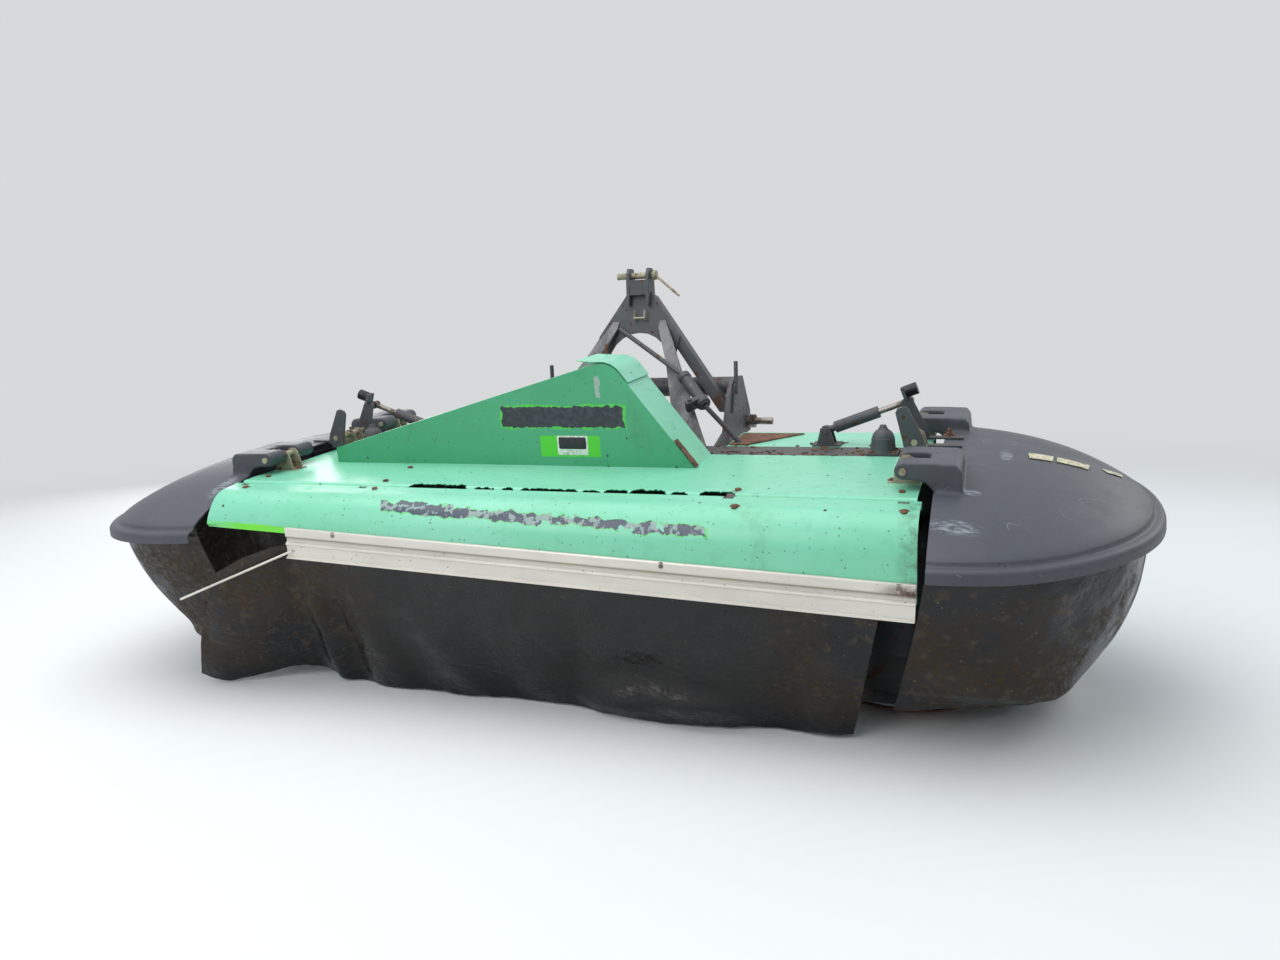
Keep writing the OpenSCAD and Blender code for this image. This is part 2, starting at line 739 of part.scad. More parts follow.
// Turns children so that their Z runs up the leaning lever.
module up_lever() {
    rotate([0, -lever_lean, 0]) children();
}

module fold_lever(side) {
    plate = [[-26, -30], [2, -40], [28, -26], [30, 8], [18, lever_len - 8], [8, lever_len], [-12, lever_len],
        [-22, lever_len - 10], [-32, 20], [-36, -6]];
    foot_h = cover_rise + seat - cover_axis_h;
    near_bar = foot_bar_y - lever_y - foot_bar_w / 2;
    color(steel_grey) at_lever(side) {
        difference() {
            for (k = [-1, 1]) translate([0, k * lever_plate_y, 0]) up_lever() along_y(lever_t, plate);
            bar_y(lug_pin_r + fit, 400);
        }
        translate([20, near_bar, foot_h]) cube([foot_bar_out - 20, foot_bar_w, foot_t]);
        translate([20, -lever_plate_y, foot_h]) cube([20, near_bar + lever_plate_y + 1, foot_t]);
        translate([20, lever_plate_y - foot_bar_w / 2, foot_h]) cube([foot_bar_out - 20, foot_bar_w, foot_t]);
        up_lever() {
            translate([0, lever_plate_y + (lever_t + boss_len) / 2 - 0.5, lever_pin]) bar_y(boss_r, boss_len + 1);
            translate([-5, lever_plate_y - buffer_r, lever_len - 2]) cube([10, 2 * buffer_r, 40]);
        }
    }
}

// Rubber buffer on the rear plate's top
buffer_r = 20;
buffer_len = 40;
buffer_up = lever_len + buffer_r + seat;
module bumper(side) {
    color(rubber_black) at_lever(side) up_lever()
        translate([5 + seat, lever_plate_y, buffer_up]) rotate([0, 90, 0]) cylinder(r = buffer_r, h = buffer_len);
}

function lever_eye() = [cover_axis_x - lever_pin * sin(lever_lean), cover_axis_h + lever_pin * cos(lever_lean)];
function eye_reach() = norm(lever_eye() - [cyl_base_x, cyl_base_h]);

module at_cylinder(side) {
    e = lever_eye() - [cyl_base_x, cyl_base_h];
    on_hood() mirror([side < 0 ? 1 : 0, 0, 0]) translate([cyl_base_x, cyl_y, cyl_base_h])
        rotate([0, -atan2(e.y, e.x), 0]) children();
}

// A cylinder along the fold cylinder's own axis, from one reach to another.
module barrel(r, from, to) {
    translate([from, 0, 0]) rotate([0, 90, 0]) cylinder(r = r, h = to - from);
}

module fold_cylinder(side) {
    color(steel_grey) at_cylinder(side) difference() {
        union() {
            bar_y(eye_r, eye_w);
            barrel(cyl_neck_r, eye_r - 4, cyl_from + 1);
            barrel(cyl_r, cyl_from, cyl_len);
        }
        bar_y(cyl_pin_r + fit, 60);
        barrel(rod_r + fit, cyl_from + 8, cyl_len + 1);
    }
}

module piston_rod(side) {
    color(alloy) at_cylinder(side) {
        barrel(rod_r, 128, eye_reach() - 12);
        translate([eye_reach(), 0, 0]) bar_y(eye_r - 2, eye_w);
    }
}

module cylinder_mounts() {
    ear = [[cyl_base_x - 30, panel_h], [cyl_base_x + 34, panel_h], [cyl_base_x + 16, cyl_base_h + 12],
        [cyl_base_x - 16, cyl_base_h + 12]];
    ear_t = 8;
    ear_y = eye_w / 2 + 4 + ear_t / 2;
    color(steel_grey) on_hood() for (s = [-1, 1]) mirror([s < 0 ? 1 : 0, 0, 0]) {
        translate([cyl_base_x - 44, cyl_y - 34, panel_h]) cube([96, 68, 6]);
        for (k = [-1, 1]) along_y(ear_t, ear, cyl_y + k * ear_y);
        translate([cyl_base_x, cyl_y, cyl_base_h]) bar_y(cyl_pin_r, 2 * ear_y + ear_t + 8);
    }
}

// Headstock: an A-frame that leans forward a little, on two side plates
plate_x = 372;
plate_t = 15;
plate_face = plate_x - plate_t / 2;
mast_lean = 8.8;
mast_drop = 67;
mast_deep = 80;
mast_t = 8;
leg_w = 49;
leg_top_x = 47;
// Foot of a leg's outer edge: X, and the way down the leaning plane.
leg_foot = [382, -470];
ear_x = 40;
ear_t = 12;

// Moves children so that XY lies in the A-frame's front plane, with Y up it and Z forwards.
module in_mast_plane() {
    translate([0, top_pin_y, top_pin_z - mast_drop]) rotate([90 - mast_lean, 0, 0]) children();
}

// A leg's outer stretch of some width, between two depths behind the front plane.
module leg_band(width, from, to) {
    translate([0, 0, from]) linear_extrude(height = to - from)
        polygon([[leg_top_x - width, 0], [leg_top_x, 0], leg_foot, leg_foot - [width, 0]]);
}

module a_frame() {
    ear = [[top_pin_y - 40, top_pin_z - 112], [top_pin_y + 46, top_pin_z - 112], [top_pin_y + 34, top_pin_z + 4],
        [top_pin_y + 20, top_pin_z + 28], [top_pin_y - 20, top_pin_z + 28], [top_pin_y - 32, top_pin_z + 6]];
    gusset = concat(
        [[leg_top_x, 5], [170, -172], [150, -262]],
        arc([0, -285], 128, 8, 172, 10),
        [[-150, -262], [-170, -172], [-leg_top_x, 5]]
    );
    color(steel_grey) difference() {
        union() {
            in_mast_plane() {
                for (s = [0, 1]) mirror([s, 0, 0]) {
                    leg_band(leg_w, -mast_t, 0);
                    leg_band(leg_w, -mast_deep, mast_t - mast_deep);
                    leg_band(mast_t, -mast_deep, 0);
                }
                linear_extrude(height = mast_t) polygon(gusset);
            }
            for (s = [-1, 1]) along_x(ear_t, ear, s * ear_x);
            translate([-leg_top_x, top_pin_y - 34, top_pin_z - 75]) cube([2 * leg_top_x, 10, 58]);
        }
        translate([0, top_pin_y, top_pin_z]) bar_x(top_pin_r + fit, 120);
        for (s = [-1, 1]) translate([s * (plate_face + 100) - 100, 300, 600]) cube([200, 600, 600]);
    }
}

// Cuts away what lies behind the gusset's front face.
module behind_gusset() {
    in_mast_plane() translate([-600, -900, -400]) cube([1200, 1200, 400 + mast_t]);
}

module top_link_pin() {
    color(galvanised) {
        translate([-16, top_pin_y, top_pin_z]) bar_x(top_pin_r, 154);
        translate([62, top_pin_y, top_pin_z]) bar_x(top_pin_r + 6, 14);
        rod_between([64, top_pin_y, top_pin_z], [165, top_pin_y - 18, top_pin_z - 84], 5);
    }
}

// Tapered plates from the side plates' front up to the gusset. Columns: X and the way up.
STRUT = [[plate_face, -42], [plate_face, 26], [330, 100], [150, 505], [85, 640], [85, 560], [147, 390], [215, 150],
    [322, -42]];
strut_foot = [200, 750];
strut_top = [560, 1220];
strut_t = 10;
module inner_struts() {
    color(steel_grey) difference() {
        strut_plates(0);
        behind_gusset();
    }
}

// The struts, grown all round by some room.
module strut_plates(room) {
    climb = strut_top - strut_foot;
    translate([0, strut_foot.x, strut_foot.y]) rotate([atan2(climb.y, climb.x), 0, 0])
        for (s = [0, 1]) mirror([s, 0, 0])
            translate([0, 0, -room]) linear_extrude(height = strut_t + 2 * room)
                offset(delta = room) polygon(STRUT);
}

module cross_tube() {
    color(steel_grey) translate([0, 655, 960]) bar_x(38, 2 * plate_face);
}

// Side plates: columns are Y and height.
SIDE_PLATE = [[beam_half_y, beam_low + 20], [beam_half_y, beam_high - 4], [beam_half_y + lid_lip, beam_high - 3],
    [250, 745], [420, 800], [500, 950], [560, 1000], [690, 1000], [low_pin_y + 44, low_pin_z + 40],
    [low_pin_y + 44, low_pin_z - 40], [low_pin_y - 40, low_pin_z - 46], [560, 720], [300, 650],
    [beam_half_y + 40, beam_low + 14]];
module side_plates() {
    color(steel_grey) difference() {
        for (s = [-1, 1]) along_x(plate_t, SIDE_PLATE, s * plate_x);
        boss_room();
    }
}

low_pin_len = 70;
module lower_link_pins() {
    out = plate_x + plate_t / 2;
    shoulder = low_pin_span / 2;
    color(steel_grey) for (s = [-1, 1]) mirror([s < 0 ? 1 : 0, 0, 0]) translate([0, low_pin_y, low_pin_z]) {
        translate([(out + shoulder) / 2, 0, 0]) bar_x(27, shoulder - out);
        translate([shoulder + low_pin_len / 2 - 1, 0, 0]) bar_x(low_pin_r, low_pin_len + 2);
    }
}

// Upright levers on the side plates
module side_levers() {
    out = plate_x + plate_t / 2;
    color(steel_grey) for (s = [-1, 1]) mirror([s < 0 ? 1 : 0, 0, 0]) {
        along_x(8, [[505, 866], [610, 866], [590, 940], [560, 975], [540, 975]], out + 4);
        translate([out + 9, 550, 935]) cylinder(r = 8, h = 126);
    }
}

// Cylinder laid along the right strut, from the gusset down to the deck plate
relief_top = [-80, 544, 1197];
relief_mid = [241, 350, 1018];
relief_low = [345, 272, 912];
relief_end = [474, 290, 770];
module relief_cylinder() {
    color(steel_grey) difference() {
        union() {
            rod_between(relief_top, relief_mid, 9);
            rod_between(relief_mid, relief_low, 21);
            rod_between(relief_low, relief_end, 9);
        }
        behind_gusset();
        strut_plates(seat);
        on_hood() translate([300, 0, panel_h + deck_t - 100]) cube([400, 600, 100]);
    }
}

// The parts above are drawn from the line of the drum axes; the origin lies under the middle of
// the machine's length, this far behind that line.
middle_y = 130.5;
translate([0, -middle_y, 0]) {
    gear_beam();
    centre_gearbox();
    drive_bells();
    front_panel();
    beam_cover();
    rear_panels();
    deck_plate();
    fairing();
    front_brackets();
    rear_brackets();
    cover_hinge_brackets();
    flap_hinges();
    cylinder_mounts();
    a_frame();
    top_link_pin();
    inner_struts();
    cross_tube();
    side_plates();
    lower_link_pins();
    side_levers();
    relief_cylinder();
    front_flap();
    front_rail();
    front_curtain();
    curtain_rod();
    side_cover(1);  // right_cover
    side_cover(-1);  // left_cover
    side_curtain(1);  // right_curtain
    side_curtain(-1);  // left_curtain
    fold_lever(1);  // right_fold_lever
    fold_lever(-1);  // left_fold_lever
    bumper(1);  // right_bumper
    bumper(-1);  // left_bumper
    fold_cylinder(1);  // right_cylinder
    fold_cylinder(-1);  // left_cylinder
    piston_rod(1);  // right_piston_rod
    piston_rod(-1);  // left_piston_rod
    input_shaft();
    for (i = [0:3]) {
        drum(i);
        blades(i);
        skid_dish(i);
    }
}
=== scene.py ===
"""Looks of a front-mounted drum mower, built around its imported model, in metres."""

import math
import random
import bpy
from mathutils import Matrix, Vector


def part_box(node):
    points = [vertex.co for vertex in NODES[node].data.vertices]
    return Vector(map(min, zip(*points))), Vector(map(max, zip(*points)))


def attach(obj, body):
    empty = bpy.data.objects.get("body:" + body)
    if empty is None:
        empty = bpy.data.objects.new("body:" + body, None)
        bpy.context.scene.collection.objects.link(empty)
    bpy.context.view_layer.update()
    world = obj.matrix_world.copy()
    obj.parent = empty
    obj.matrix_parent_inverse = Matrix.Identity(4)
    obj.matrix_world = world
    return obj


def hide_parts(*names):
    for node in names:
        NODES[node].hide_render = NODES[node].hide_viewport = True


bl_info = {
    "name": "Front drum mower",
    "version": (1, 0, 0),
    "blender": (4, 5, 0),
    "location": "3D View > Sidebar > Mower",
    "description": "Builds the covers, curtains, sheet metal, small parts and finishes of a drum mower",
    "category": "Add Mesh",
}

import bpy
from bpy.props import FloatProperty, FloatVectorProperty, IntProperty, PointerProperty
from mathutils import Matrix, Vector, noise

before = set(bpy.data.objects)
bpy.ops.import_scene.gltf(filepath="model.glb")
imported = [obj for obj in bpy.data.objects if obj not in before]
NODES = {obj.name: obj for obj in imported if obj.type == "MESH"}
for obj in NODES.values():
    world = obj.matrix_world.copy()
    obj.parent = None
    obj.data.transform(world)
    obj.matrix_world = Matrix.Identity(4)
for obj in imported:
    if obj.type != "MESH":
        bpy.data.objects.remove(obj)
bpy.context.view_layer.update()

# Y of the line of the drum axes, from which the sizes below are taken.
DRUM_LINE = -0.1305
# The hood's own frame: its Z 0 is the rim plane of the covers, and it slopes forwards.
HOOD_HEIGHT = 0.648
HOOD_SLOPE = math.radians(5.2)
# The fixed panel: height, front edge, rear edge and half width.
PANEL_TOP = 0.100
PANEL_FRONT = -0.414
PANEL_REAR = 0.100
PANEL_HALF = 1.135
# The flap: half width, Y and height of its axis, and radius of its bend.
FLAP_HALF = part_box("front_flap")[1].x
FLAP_AXIS = (-0.428, 0.086)
FLAP_BEND = 0.105
# The rail: its face, top edge in the middle, slope along X, left end and height.
RAIL_FACE = -0.582
RAIL_TOP = -0.035
RAIL_TILT = math.tan(math.radians(2.15))
RAIL_LEFT = -0.826
RAIL_HEIGHT = 0.102
# How far the flap reaches under the rail's top line, behind the rail and left of it.
BEHIND_RAIL = 0.055
BARE_EDGE = 0.022
# The gap between a piece and its seat.
SEAT = 0.0003
# A side cover: inner edge, width, half length, middle, rise, droop outwards, hinge pin and lugs.
COVER_IN = 1.172
COVER_WIDE = 0.575
COVER_HALF = 0.795
COVER_MID = 0.135
COVER_RISE = 0.135
COVER_DROOP = 0.026
HINGE_X = 1.090
HINGE_H = 0.158
LUG_PLACES = (-0.222, 0.475)
# The hinge brackets on the panel: X, places along Y, and the top of their feet over the panel.
BRACKET_X = 1.050
BRACKET_PLACES = (-0.222, 0.170, 0.475)
BRACKET_FOOT = 0.005
# The headstock's gusset: a point of its front face, and its ways up and outwards.
MAST_LEAN = math.radians(8.8)
MAST_UP = (0, math.sin(MAST_LEAN), math.cos(MAST_LEAN))
MAST_OUT = (0, -math.cos(MAST_LEAN), math.sin(MAST_LEAN))
# The middle of the latch bracket, and two points of the relief cylinder: at its gland and its low end.
MAST_BRACKET = (0.008, 0.5524 + DRUM_LINE, 1.2285)
RELIEF_MID = (0.241, 0.350 + DRUM_LINE, 1.018)
RELIEF_LOW = (0.345, 0.272 + DRUM_LINE, 0.912)
# The flap's hinges along X.
HINGE_PLACES = (-1.100, -0.620, 0.620, 1.100)
# The fairing's face above the panel: left end, peak with its rounding, and right foot.
FAIRING_LEFT = (-0.966, 0.056)
FAIRING_PEAK = (0.144, 0.357)
FAIRING_RIGHT = (0.421, 0.0)
FAIRING_ROUND = 0.080
# Places of the bell castings along X and Y, the height of their flange, and its bolts from its middle.
BELL = (0.985, 0.152, 0.009)
BELL_BOLTS = ((-0.036, -0.030), (0.036, -0.030), (-0.036, 0.030), (0.036, 0.030))
# The foot bar on a cover: X on the right and left side, Y, and the bar's top over the dome.
FOOT_BAR_X = (("right", 1.186), ("left", -1.172))
FOOT_BAR_Y = 0.262
FOOT_BAR_TOP = 0.0065


def srgb(red, green, blue):
    """A given colour, as the linear values that shaders use."""
    return tuple(
        c / 12.92 if c <= 0.04045 else ((c + 0.055) / 1.055) ** 2.4 for c in (red, green, blue)
    )


def rgba(colour):
    return (*colour[:3], 1.0)


def hood(x, y, h):
    """A point of the hood's frame in the machine's frame."""
    cos, sin = math.cos(HOOD_SLOPE), math.sin(HOOD_SLOPE)
    return Vector((x, DRUM_LINE + y * cos - h * sin, HOOD_HEIGHT + y * sin + h * cos))


def in_hood(p):
    """The hood's own X, Y and height of a point."""
    cos, sin = math.cos(HOOD_SLOPE), math.sin(HOOD_SLOPE)
    back, rise = p.y - DRUM_LINE, p.z - HOOD_HEIGHT
    return Vector((p.x, back * cos + rise * sin, rise * cos - back * sin))


def hood_way(x, y, h):
    """A direction of the hood's frame in the machine's frame."""
    return hood(x, y, h) - hood(0, 0, 0)


def smooth_step(value, low, high):
    t = min(1.0, max(0.0, (value - low) / (high - low)))
    return t * t * (3 - 2 * t)


def bump(value, centre, width):
    """A soft hump of height 1 round a centre."""
    return math.exp(-(((value - centre) / width) ** 2))


def through(points, t):
    """The point at t, from 0 to 1, on a smooth curve through points."""
    span = t * (len(points) - 1)
    i = min(int(span), len(points) - 2)
    f = span - i
    a, b = Vector(points[i]), Vector(points[i + 1])
    before = Vector(points[i - 1]) if i > 0 else a
    after = Vector(points[i + 2]) if i + 2 < len(points) else b
    return 0.5 * (
        2 * a
        + (b - before) * f
        + (2 * before - 5 * a + 4 * b - after) * f * f
        + (3 * a - before - 3 * b + after) * f * f * f
    )


# Settings that a user would change


class MowerColours(bpy.types.PropertyGroup):
    # Painted light: the mint of the upper faces is partly sun fading and partly the light that falls on them.
    mint: FloatVectorProperty(
        name="Mint", description="Sun-faded green of the upper faces", subtype="COLOR", size=3,
        default=srgb(0.505, 0.825, 0.69), min=0, max=1,
    )
    # Painted shade: the green of the upright faces is partly unfaded paint and partly the shade that falls on
    # them.
    green: FloatVectorProperty(
        name="Green", description="Green of the upright faces", subtype="COLOR", size=3,
        default=srgb(0.27, 0.625, 0.45), min=0, max=1,
    )
    lime: FloatVectorProperty(
        name="Lime", description="Unfaded paint where a strip was taken off", subtype="COLOR", size=3,
        default=srgb(0.33, 0.80, 0.20), min=0, max=1,
    )
    plastic: FloatVectorProperty(
        name="Plastic", description="Moulded side covers", subtype="COLOR", size=3,
        default=srgb(0.285, 0.295, 0.325), min=0, max=1,
    )
    steel: FloatVectorProperty(
        name="Steel paint", description="Dark paint of the frame", subtype="COLOR", size=3,
        default=srgb(0.255, 0.265, 0.285), min=0, max=1,
    )
    rust: FloatVectorProperty(
        name="Rust", description="Rust on bare steel", subtype="COLOR", size=3,
        default=srgb(0.36, 0.24, 0.17), min=0, max=1,
    )
    # Dark rubber; its slight blue tint is painted reflection of the sky.
    rubber: FloatVectorProperty(
        name="Rubber", description="Curtains and buffers", subtype="COLOR", size=3,
        default=srgb(0.060, 0.062, 0.070), min=0, max=1,
    )
    dirt: FloatVectorProperty(
        name="Dirt", description="Dried mud on the rubber", subtype="COLOR", size=3,
        default=srgb(0.205, 0.160, 0.110), min=0, max=1,
    )
    alloy: FloatVectorProperty(
        name="Alloy", description="Extruded rail", subtype="COLOR", size=3,
        default=srgb(0.86, 0.84, 0.80), min=0, max=1,
    )
    zinc: FloatVectorProperty(
        name="Zinc", description="Hinge brackets and pins", subtype="COLOR", size=3,
        default=srgb(0.66, 0.63, 0.54), min=0, max=1,
    )


class MowerSizes(bpy.types.PropertyGroup):
    sheet: FloatProperty(
        name="Sheet", description="Thickness of the green sheet metal", default=0.003, min=0.002, max=0.004,
        unit="LENGTH",
    )
    rubber: FloatProperty(
        name="Rubber", description="Thickness of the curtains", default=0.005, min=0.004, max=0.008,
        unit="LENGTH",
    )
    cover_wall: FloatProperty(
        name="Cover wall", description="Thickness of the moulded covers", default=0.005, min=0.004, max=0.008,
        unit="LENGTH",
    )
    wrinkle: FloatProperty(
        name="Wrinkle", description="Depth of the curtains' dents", default=0.016, min=0, max=0.03,
        unit="LENGTH",
    )
    bolt: FloatProperty(
        name="Bolt", description="Radius of a panel bolt's head", default=0.0095, min=0.006, max=0.014,
        unit="LENGTH",
    )
    detail: IntProperty(
        name="Detail", description="Columns of the curtains' meshes", default=220, min=60, max=400,
    )


class MowerStage(bpy.types.PropertyGroup):
    floor: FloatVectorProperty(
        name="Floor", description="Colour of the floor", subtype="COLOR", size=3,
        default=srgb(0.93, 0.93, 0.925), min=0, max=1,
    )
    light: FloatProperty(name="Light", description="Strength of the lamps", default=1.0, min=0.2, max=3)
    lens: FloatProperty(
        name="Lens", description="Focal length of the camera in millimetres", default=27.06, min=15, max=80,
    )


def colours():
    return bpy.context.scene.mower_colours


def sizes():
    return bpy.context.scene.mower_sizes


# Shader helpers


def put(tree, kind, inputs=None, **settings):
    """Adds a node. An input is a value or the socket that feeds it."""
    node = tree.nodes.new(kind)
    for name, value in settings.items():
        setattr(node, name, value)
    for name, value in (inputs or {}).items():
        if isinstance(value, bpy.types.NodeSocket):
            tree.links.new(value, node.inputs[name])
        else:
            node.inputs[name].default_value = value
    return node


def calc(tree, operation, first, second=0.0, third=0.0):
    node = put(tree, "ShaderNodeMath", {0: first, 1: second, 2: third}, operation=operation)
    return node.outputs[0]


def times(tree, first, second):
    return calc(tree, "MULTIPLY", first, second)


def remap(tree, value, low, high, to_low=0.0, to_high=1.0):
    """A soft step of value between low and high."""
    inputs = {"Value": value, "From Min": low, "From Max": high, "To Min": to_low, "To Max": to_high}
    return put(tree, "ShaderNodeMapRange", inputs, interpolation_type="SMOOTHSTEP").outputs[0]


def blend_colour(tree, factor, first, second):
    node = tree.nodes.new("ShaderNodeMix")
    node.data_type = "RGBA"
    for index, value in ((0, factor), (6, first), (7, second)):
        if isinstance(value, bpy.types.NodeSocket):
            tree.links.new(value, node.inputs[index])
        else:
            node.inputs[index].default_value = value if index == 0 else rgba(value)
    return node.outputs[2]


def layer(tree, colour, mask, share, above):
    """A colour with another laid over it by a share of a mask."""
    return blend_colour(tree, times(tree, mask, share), colour, above)


def blend_value(tree, factor, first, second):
    return put(tree, "ShaderNodeMix", {0: factor, 2: first, 3: second}, data_type="FLOAT").outputs[0]


def placed(tree, scale=(1, 1, 1), turn=(0, 0, 0), shift=(0, 0, 0)):
    """Object coordinates, shifted, turned and scaled."""
    source = tree.nodes.new("ShaderNodeTexCoord").outputs["Object"]
    moved = put(tree, "ShaderNodeVectorMath", {0: source, 1: shift}, operation="ADD").outputs[0]
    inputs = {"Vector": moved, "Rotation": turn, "Scale": scale}
    return put(tree, "ShaderNodeMapping", inputs).outputs[0]


def coordinate(tree, vector, axis):
    """X, Y or Z of a vector, by its number from 0."""
    return put(tree, "ShaderNodeSeparateXYZ", {0: vector}).outputs[axis]


def length_of(tree, vector):
    return put(tree, "ShaderNodeVectorMath", {0: vector}, operation="LENGTH").outputs["Value"]


def hood_placed(tree):
    """X, Y and height of the hood's frame as three sockets."""
    vector = placed(tree, turn=(-HOOD_SLOPE, 0, 0), shift=(0, -DRUM_LINE, -HOOD_HEIGHT))
    return put(tree, "ShaderNodeSeparateXYZ", {0: vector}).outputs


def new_group(name, inputs, outputs):
    """A shader node group with its own sockets, and its two end nodes."""
    group = bpy.data.node_groups.new(name, "ShaderNodeTree")
    for label, kind, default in inputs:
        socket = group.interface.new_socket(label, in_out="INPUT", socket_type=kind)
        if default is not None:
            socket.default_value = default
    for label, kind in outputs:
        group.interface.new_socket(label, in_out="OUTPUT", socket_type=kind)
    return group, group.nodes.new("NodeGroupInput"), group.nodes.new("NodeGroupOutput")


FLOAT = "NodeSocketFloat"
VECTOR = "NodeSocketVector"


def make_blotches():
    """Soft patches: noise cut between two levels."""
    group, start, end = new_group(
        "Blotches",
        [("Vector", VECTOR, None), ("Scale", FLOAT, 3.0), ("Low", FLOAT, 0.45), ("High", FLOAT, 0.65),
         ("Detail", FLOAT, 5.0)],
        [("Mask", FLOAT)],
    )
    inputs = {"Vector": start.outputs["Vector"], "Scale": start.outputs["Scale"],
              "Detail": start.outputs["Detail"], "Roughness": 0.62}
    cloud = put(group, "ShaderNodeTexNoise", inputs).outputs[0]
    mask = remap(group, cloud, start.outputs["Low"], start.outputs["High"])
    group.links.new(mask, end.inputs["Mask"])


def make_specks():
    """Small ragged spots, of which only a share is kept."""
    group, start, end = new_group(
        "Specks",
        [("Vector", VECTOR, None), ("Scale", FLOAT, 60.0), ("Size", FLOAT, 0.2), ("Share", FLOAT, 0.2)],
        [("Mask", FLOAT)],
    )
    inputs = {"Vector": start.outputs["Vector"], "Scale": start.outputs["Scale"]}
    fine = {"Vector": start.outputs["Vector"], "Scale": 260.0, "Detail": 2.0}
    ragged = put(group, "ShaderNodeTexNoise", fine)
    cells = put(group, "ShaderNodeTexVoronoi", inputs)
    pick = put(group, "ShaderNodeSeparateColor", {0: cells.outputs["Color"]})
    radius = times(group, start.outputs["Size"], calc(group, "ADD", pick.outputs[1], 0.35))
    rough = calc(group, "MULTIPLY_ADD", ragged.outputs[0], 0.25, -0.125)
    reach = calc(group, "ADD", cells.outputs["Distance"], rough)
    inside = calc(group, "LESS_THAN", reach, radius)
    kept = calc(group, "LESS_THAN", pick.outputs[0], start.outputs["Share"])
    group.links.new(times(group, inside, kept), end.inputs["Mask"])


def make_scratches():
    """Thin wandering lines, broken up by a coarse noise."""
    group, start, end = new_group(
        "Scratches",
        [("Vector", VECTOR, None), ("Scale", FLOAT, 4.0), ("Width", FLOAT, 0.004), ("Share", FLOAT, 0.4)],
        [("Mask", FLOAT)],
    )
    inputs = {"Vector": start.outputs["Vector"], "Scale": start.outputs["Scale"], "Detail": 1.0,
              "Distortion": 0.6}
    lines = put(group, "ShaderNodeTexNoise", inputs).outputs[0]
    off = calc(group, "ABSOLUTE", calc(group, "SUBTRACT", lines, 0.5))
    thin = calc(group, "LESS_THAN", off, start.outputs["Width"])
    inputs = {"Vector": start.outputs["Vector"], "Scale": times(group, start.outputs["Scale"], 2.7)}
    gaps = put(group, "ShaderNodeTexNoise", inputs).outputs[0]
    kept = calc(group, "LESS_THAN", gaps, start.outputs["Share"])
    group.links.new(times(group, thin, kept), end.inputs["Mask"])


def make_window():
    """1 inside a rectangle of two coordinates whose edges are torn by noise."""
    group, start, end = new_group(
        "Torn window",
        [("Vector", VECTOR, None), ("Across", FLOAT, 0.0), ("Up", FLOAT, 0.0), ("Left", FLOAT, 0.0),
         ("Right", FLOAT, 1.0), ("Low", FLOAT, 0.0), ("High", FLOAT, 1.0), ("Tear", FLOAT, 0.01),
         ("Tear scale", FLOAT, 30.0)],
        [("Mask", FLOAT)],
    )
    inputs = {"Vector": start.outputs["Vector"], "Scale": start.outputs["Tear scale"], "Detail": 4.0}
    torn = put(group, "ShaderNodeTexNoise", inputs).outputs["Color"]
    parts = put(group, "ShaderNodeSeparateColor", {0: torn})
    mask = None
    for label, low, high, channel in (("Across", "Left", "Right", 0), ("Up", "Low", "High", 1)):
        wander = calc(group, "SUBTRACT", parts.outputs[channel], 0.5)
        value = calc(group, "MULTIPLY_ADD", wander, start.outputs["Tear"], start.outputs[label])
        for pair in ((value, start.outputs[low]), (start.outputs[high], value)):
            side = calc(group, "GREATER_THAN", *pair)
            mask = side if mask is None else times(group, mask, side)
    group.links.new(mask, end.inputs["Mask"])


def effect(tree, name, inputs):
    """Places one of the shared effects and gives its mask."""
    node = tree.nodes.new("ShaderNodeGroup")
    node.node_tree = bpy.data.node_groups[name]
    for label, value in inputs.items():
        if isinstance(value, bpy.types.NodeSocket):
            tree.links.new(value, node.inputs[label])
        else:
            node.inputs[label].default_value = value
    return node.outputs["Mask"]


def blotches(tree, place, scale, low, high, detail=5.0):
    inputs = {"Vector": place, "Scale": scale, "Low": low, "High": high, "Detail": detail}
    return effect(tree, "Blotches", inputs)


def specks(tree, place, scale, size, share):
    return effect(tree, "Specks", {"Vector": place, "Scale": scale, "Size": size, "Share": share})


def scratches(tree, place, scale, width, share):
    return effect(tree, "Scratches", {"Vector": place, "Scale": scale, "Width": width, "Share": share})


def torn_window(tree, place, across, up, edges, tear, scale):
    """The mask of a torn rectangle, by its left, right, low and high edges."""
    left, right, low, high = edges
    return effect(tree, "Torn window", {
        "Vector": place, "Across": across, "Up": up, "Left": left, "Right": right, "Low": low,
        "High": high, "Tear": tear, "Tear scale": scale,
    })


def noise_value(tree, place, scale, detail=2.0):
    inputs = {"Vector": place, "Scale": scale, "Detail": detail}
    return put(tree, "ShaderNodeTexNoise", inputs).outputs[0]


def new_material(name):
    """An empty material with its Principled shader, which the caller feeds."""
    material = bpy.data.materials.new(name)
    material.use_nodes = True
    tree = material.node_tree
    tree.nodes.clear()
    shader = tree.nodes.new("ShaderNodeBsdfPrincipled")
    surface = tree.nodes.new("ShaderNodeOutputMaterial")
    tree.links.new(shader.outputs[0], surface.inputs[0])
    return material, tree, shader


def raise_surface(tree, shader, height, strength, distance):
    inputs = {"Height": height, "Strength": strength, "Distance": distance}
    tree.links.new(put(tree, "ShaderNodeBump", inputs).outputs[0], shader.inputs["Normal"])


def feed(tree, shader, **sockets):
    names = {"colour": "Base Color", "roughness": "Roughness", "metallic": "Metallic", "coat": "Coat Weight"}
    for key, socket in sockets.items():
        tree.links.new(socket, shader.inputs[names[key]])


# Finishes


def upward(tree, low, high):
    """1 on faces that look up and 0 on upright ones, in the piece's own frame."""
    normal = tree.nodes.new("ShaderNodeTexCoord").outputs["Normal"]
    return remap(tree, coordinate(tree, normal, 2), low, high)


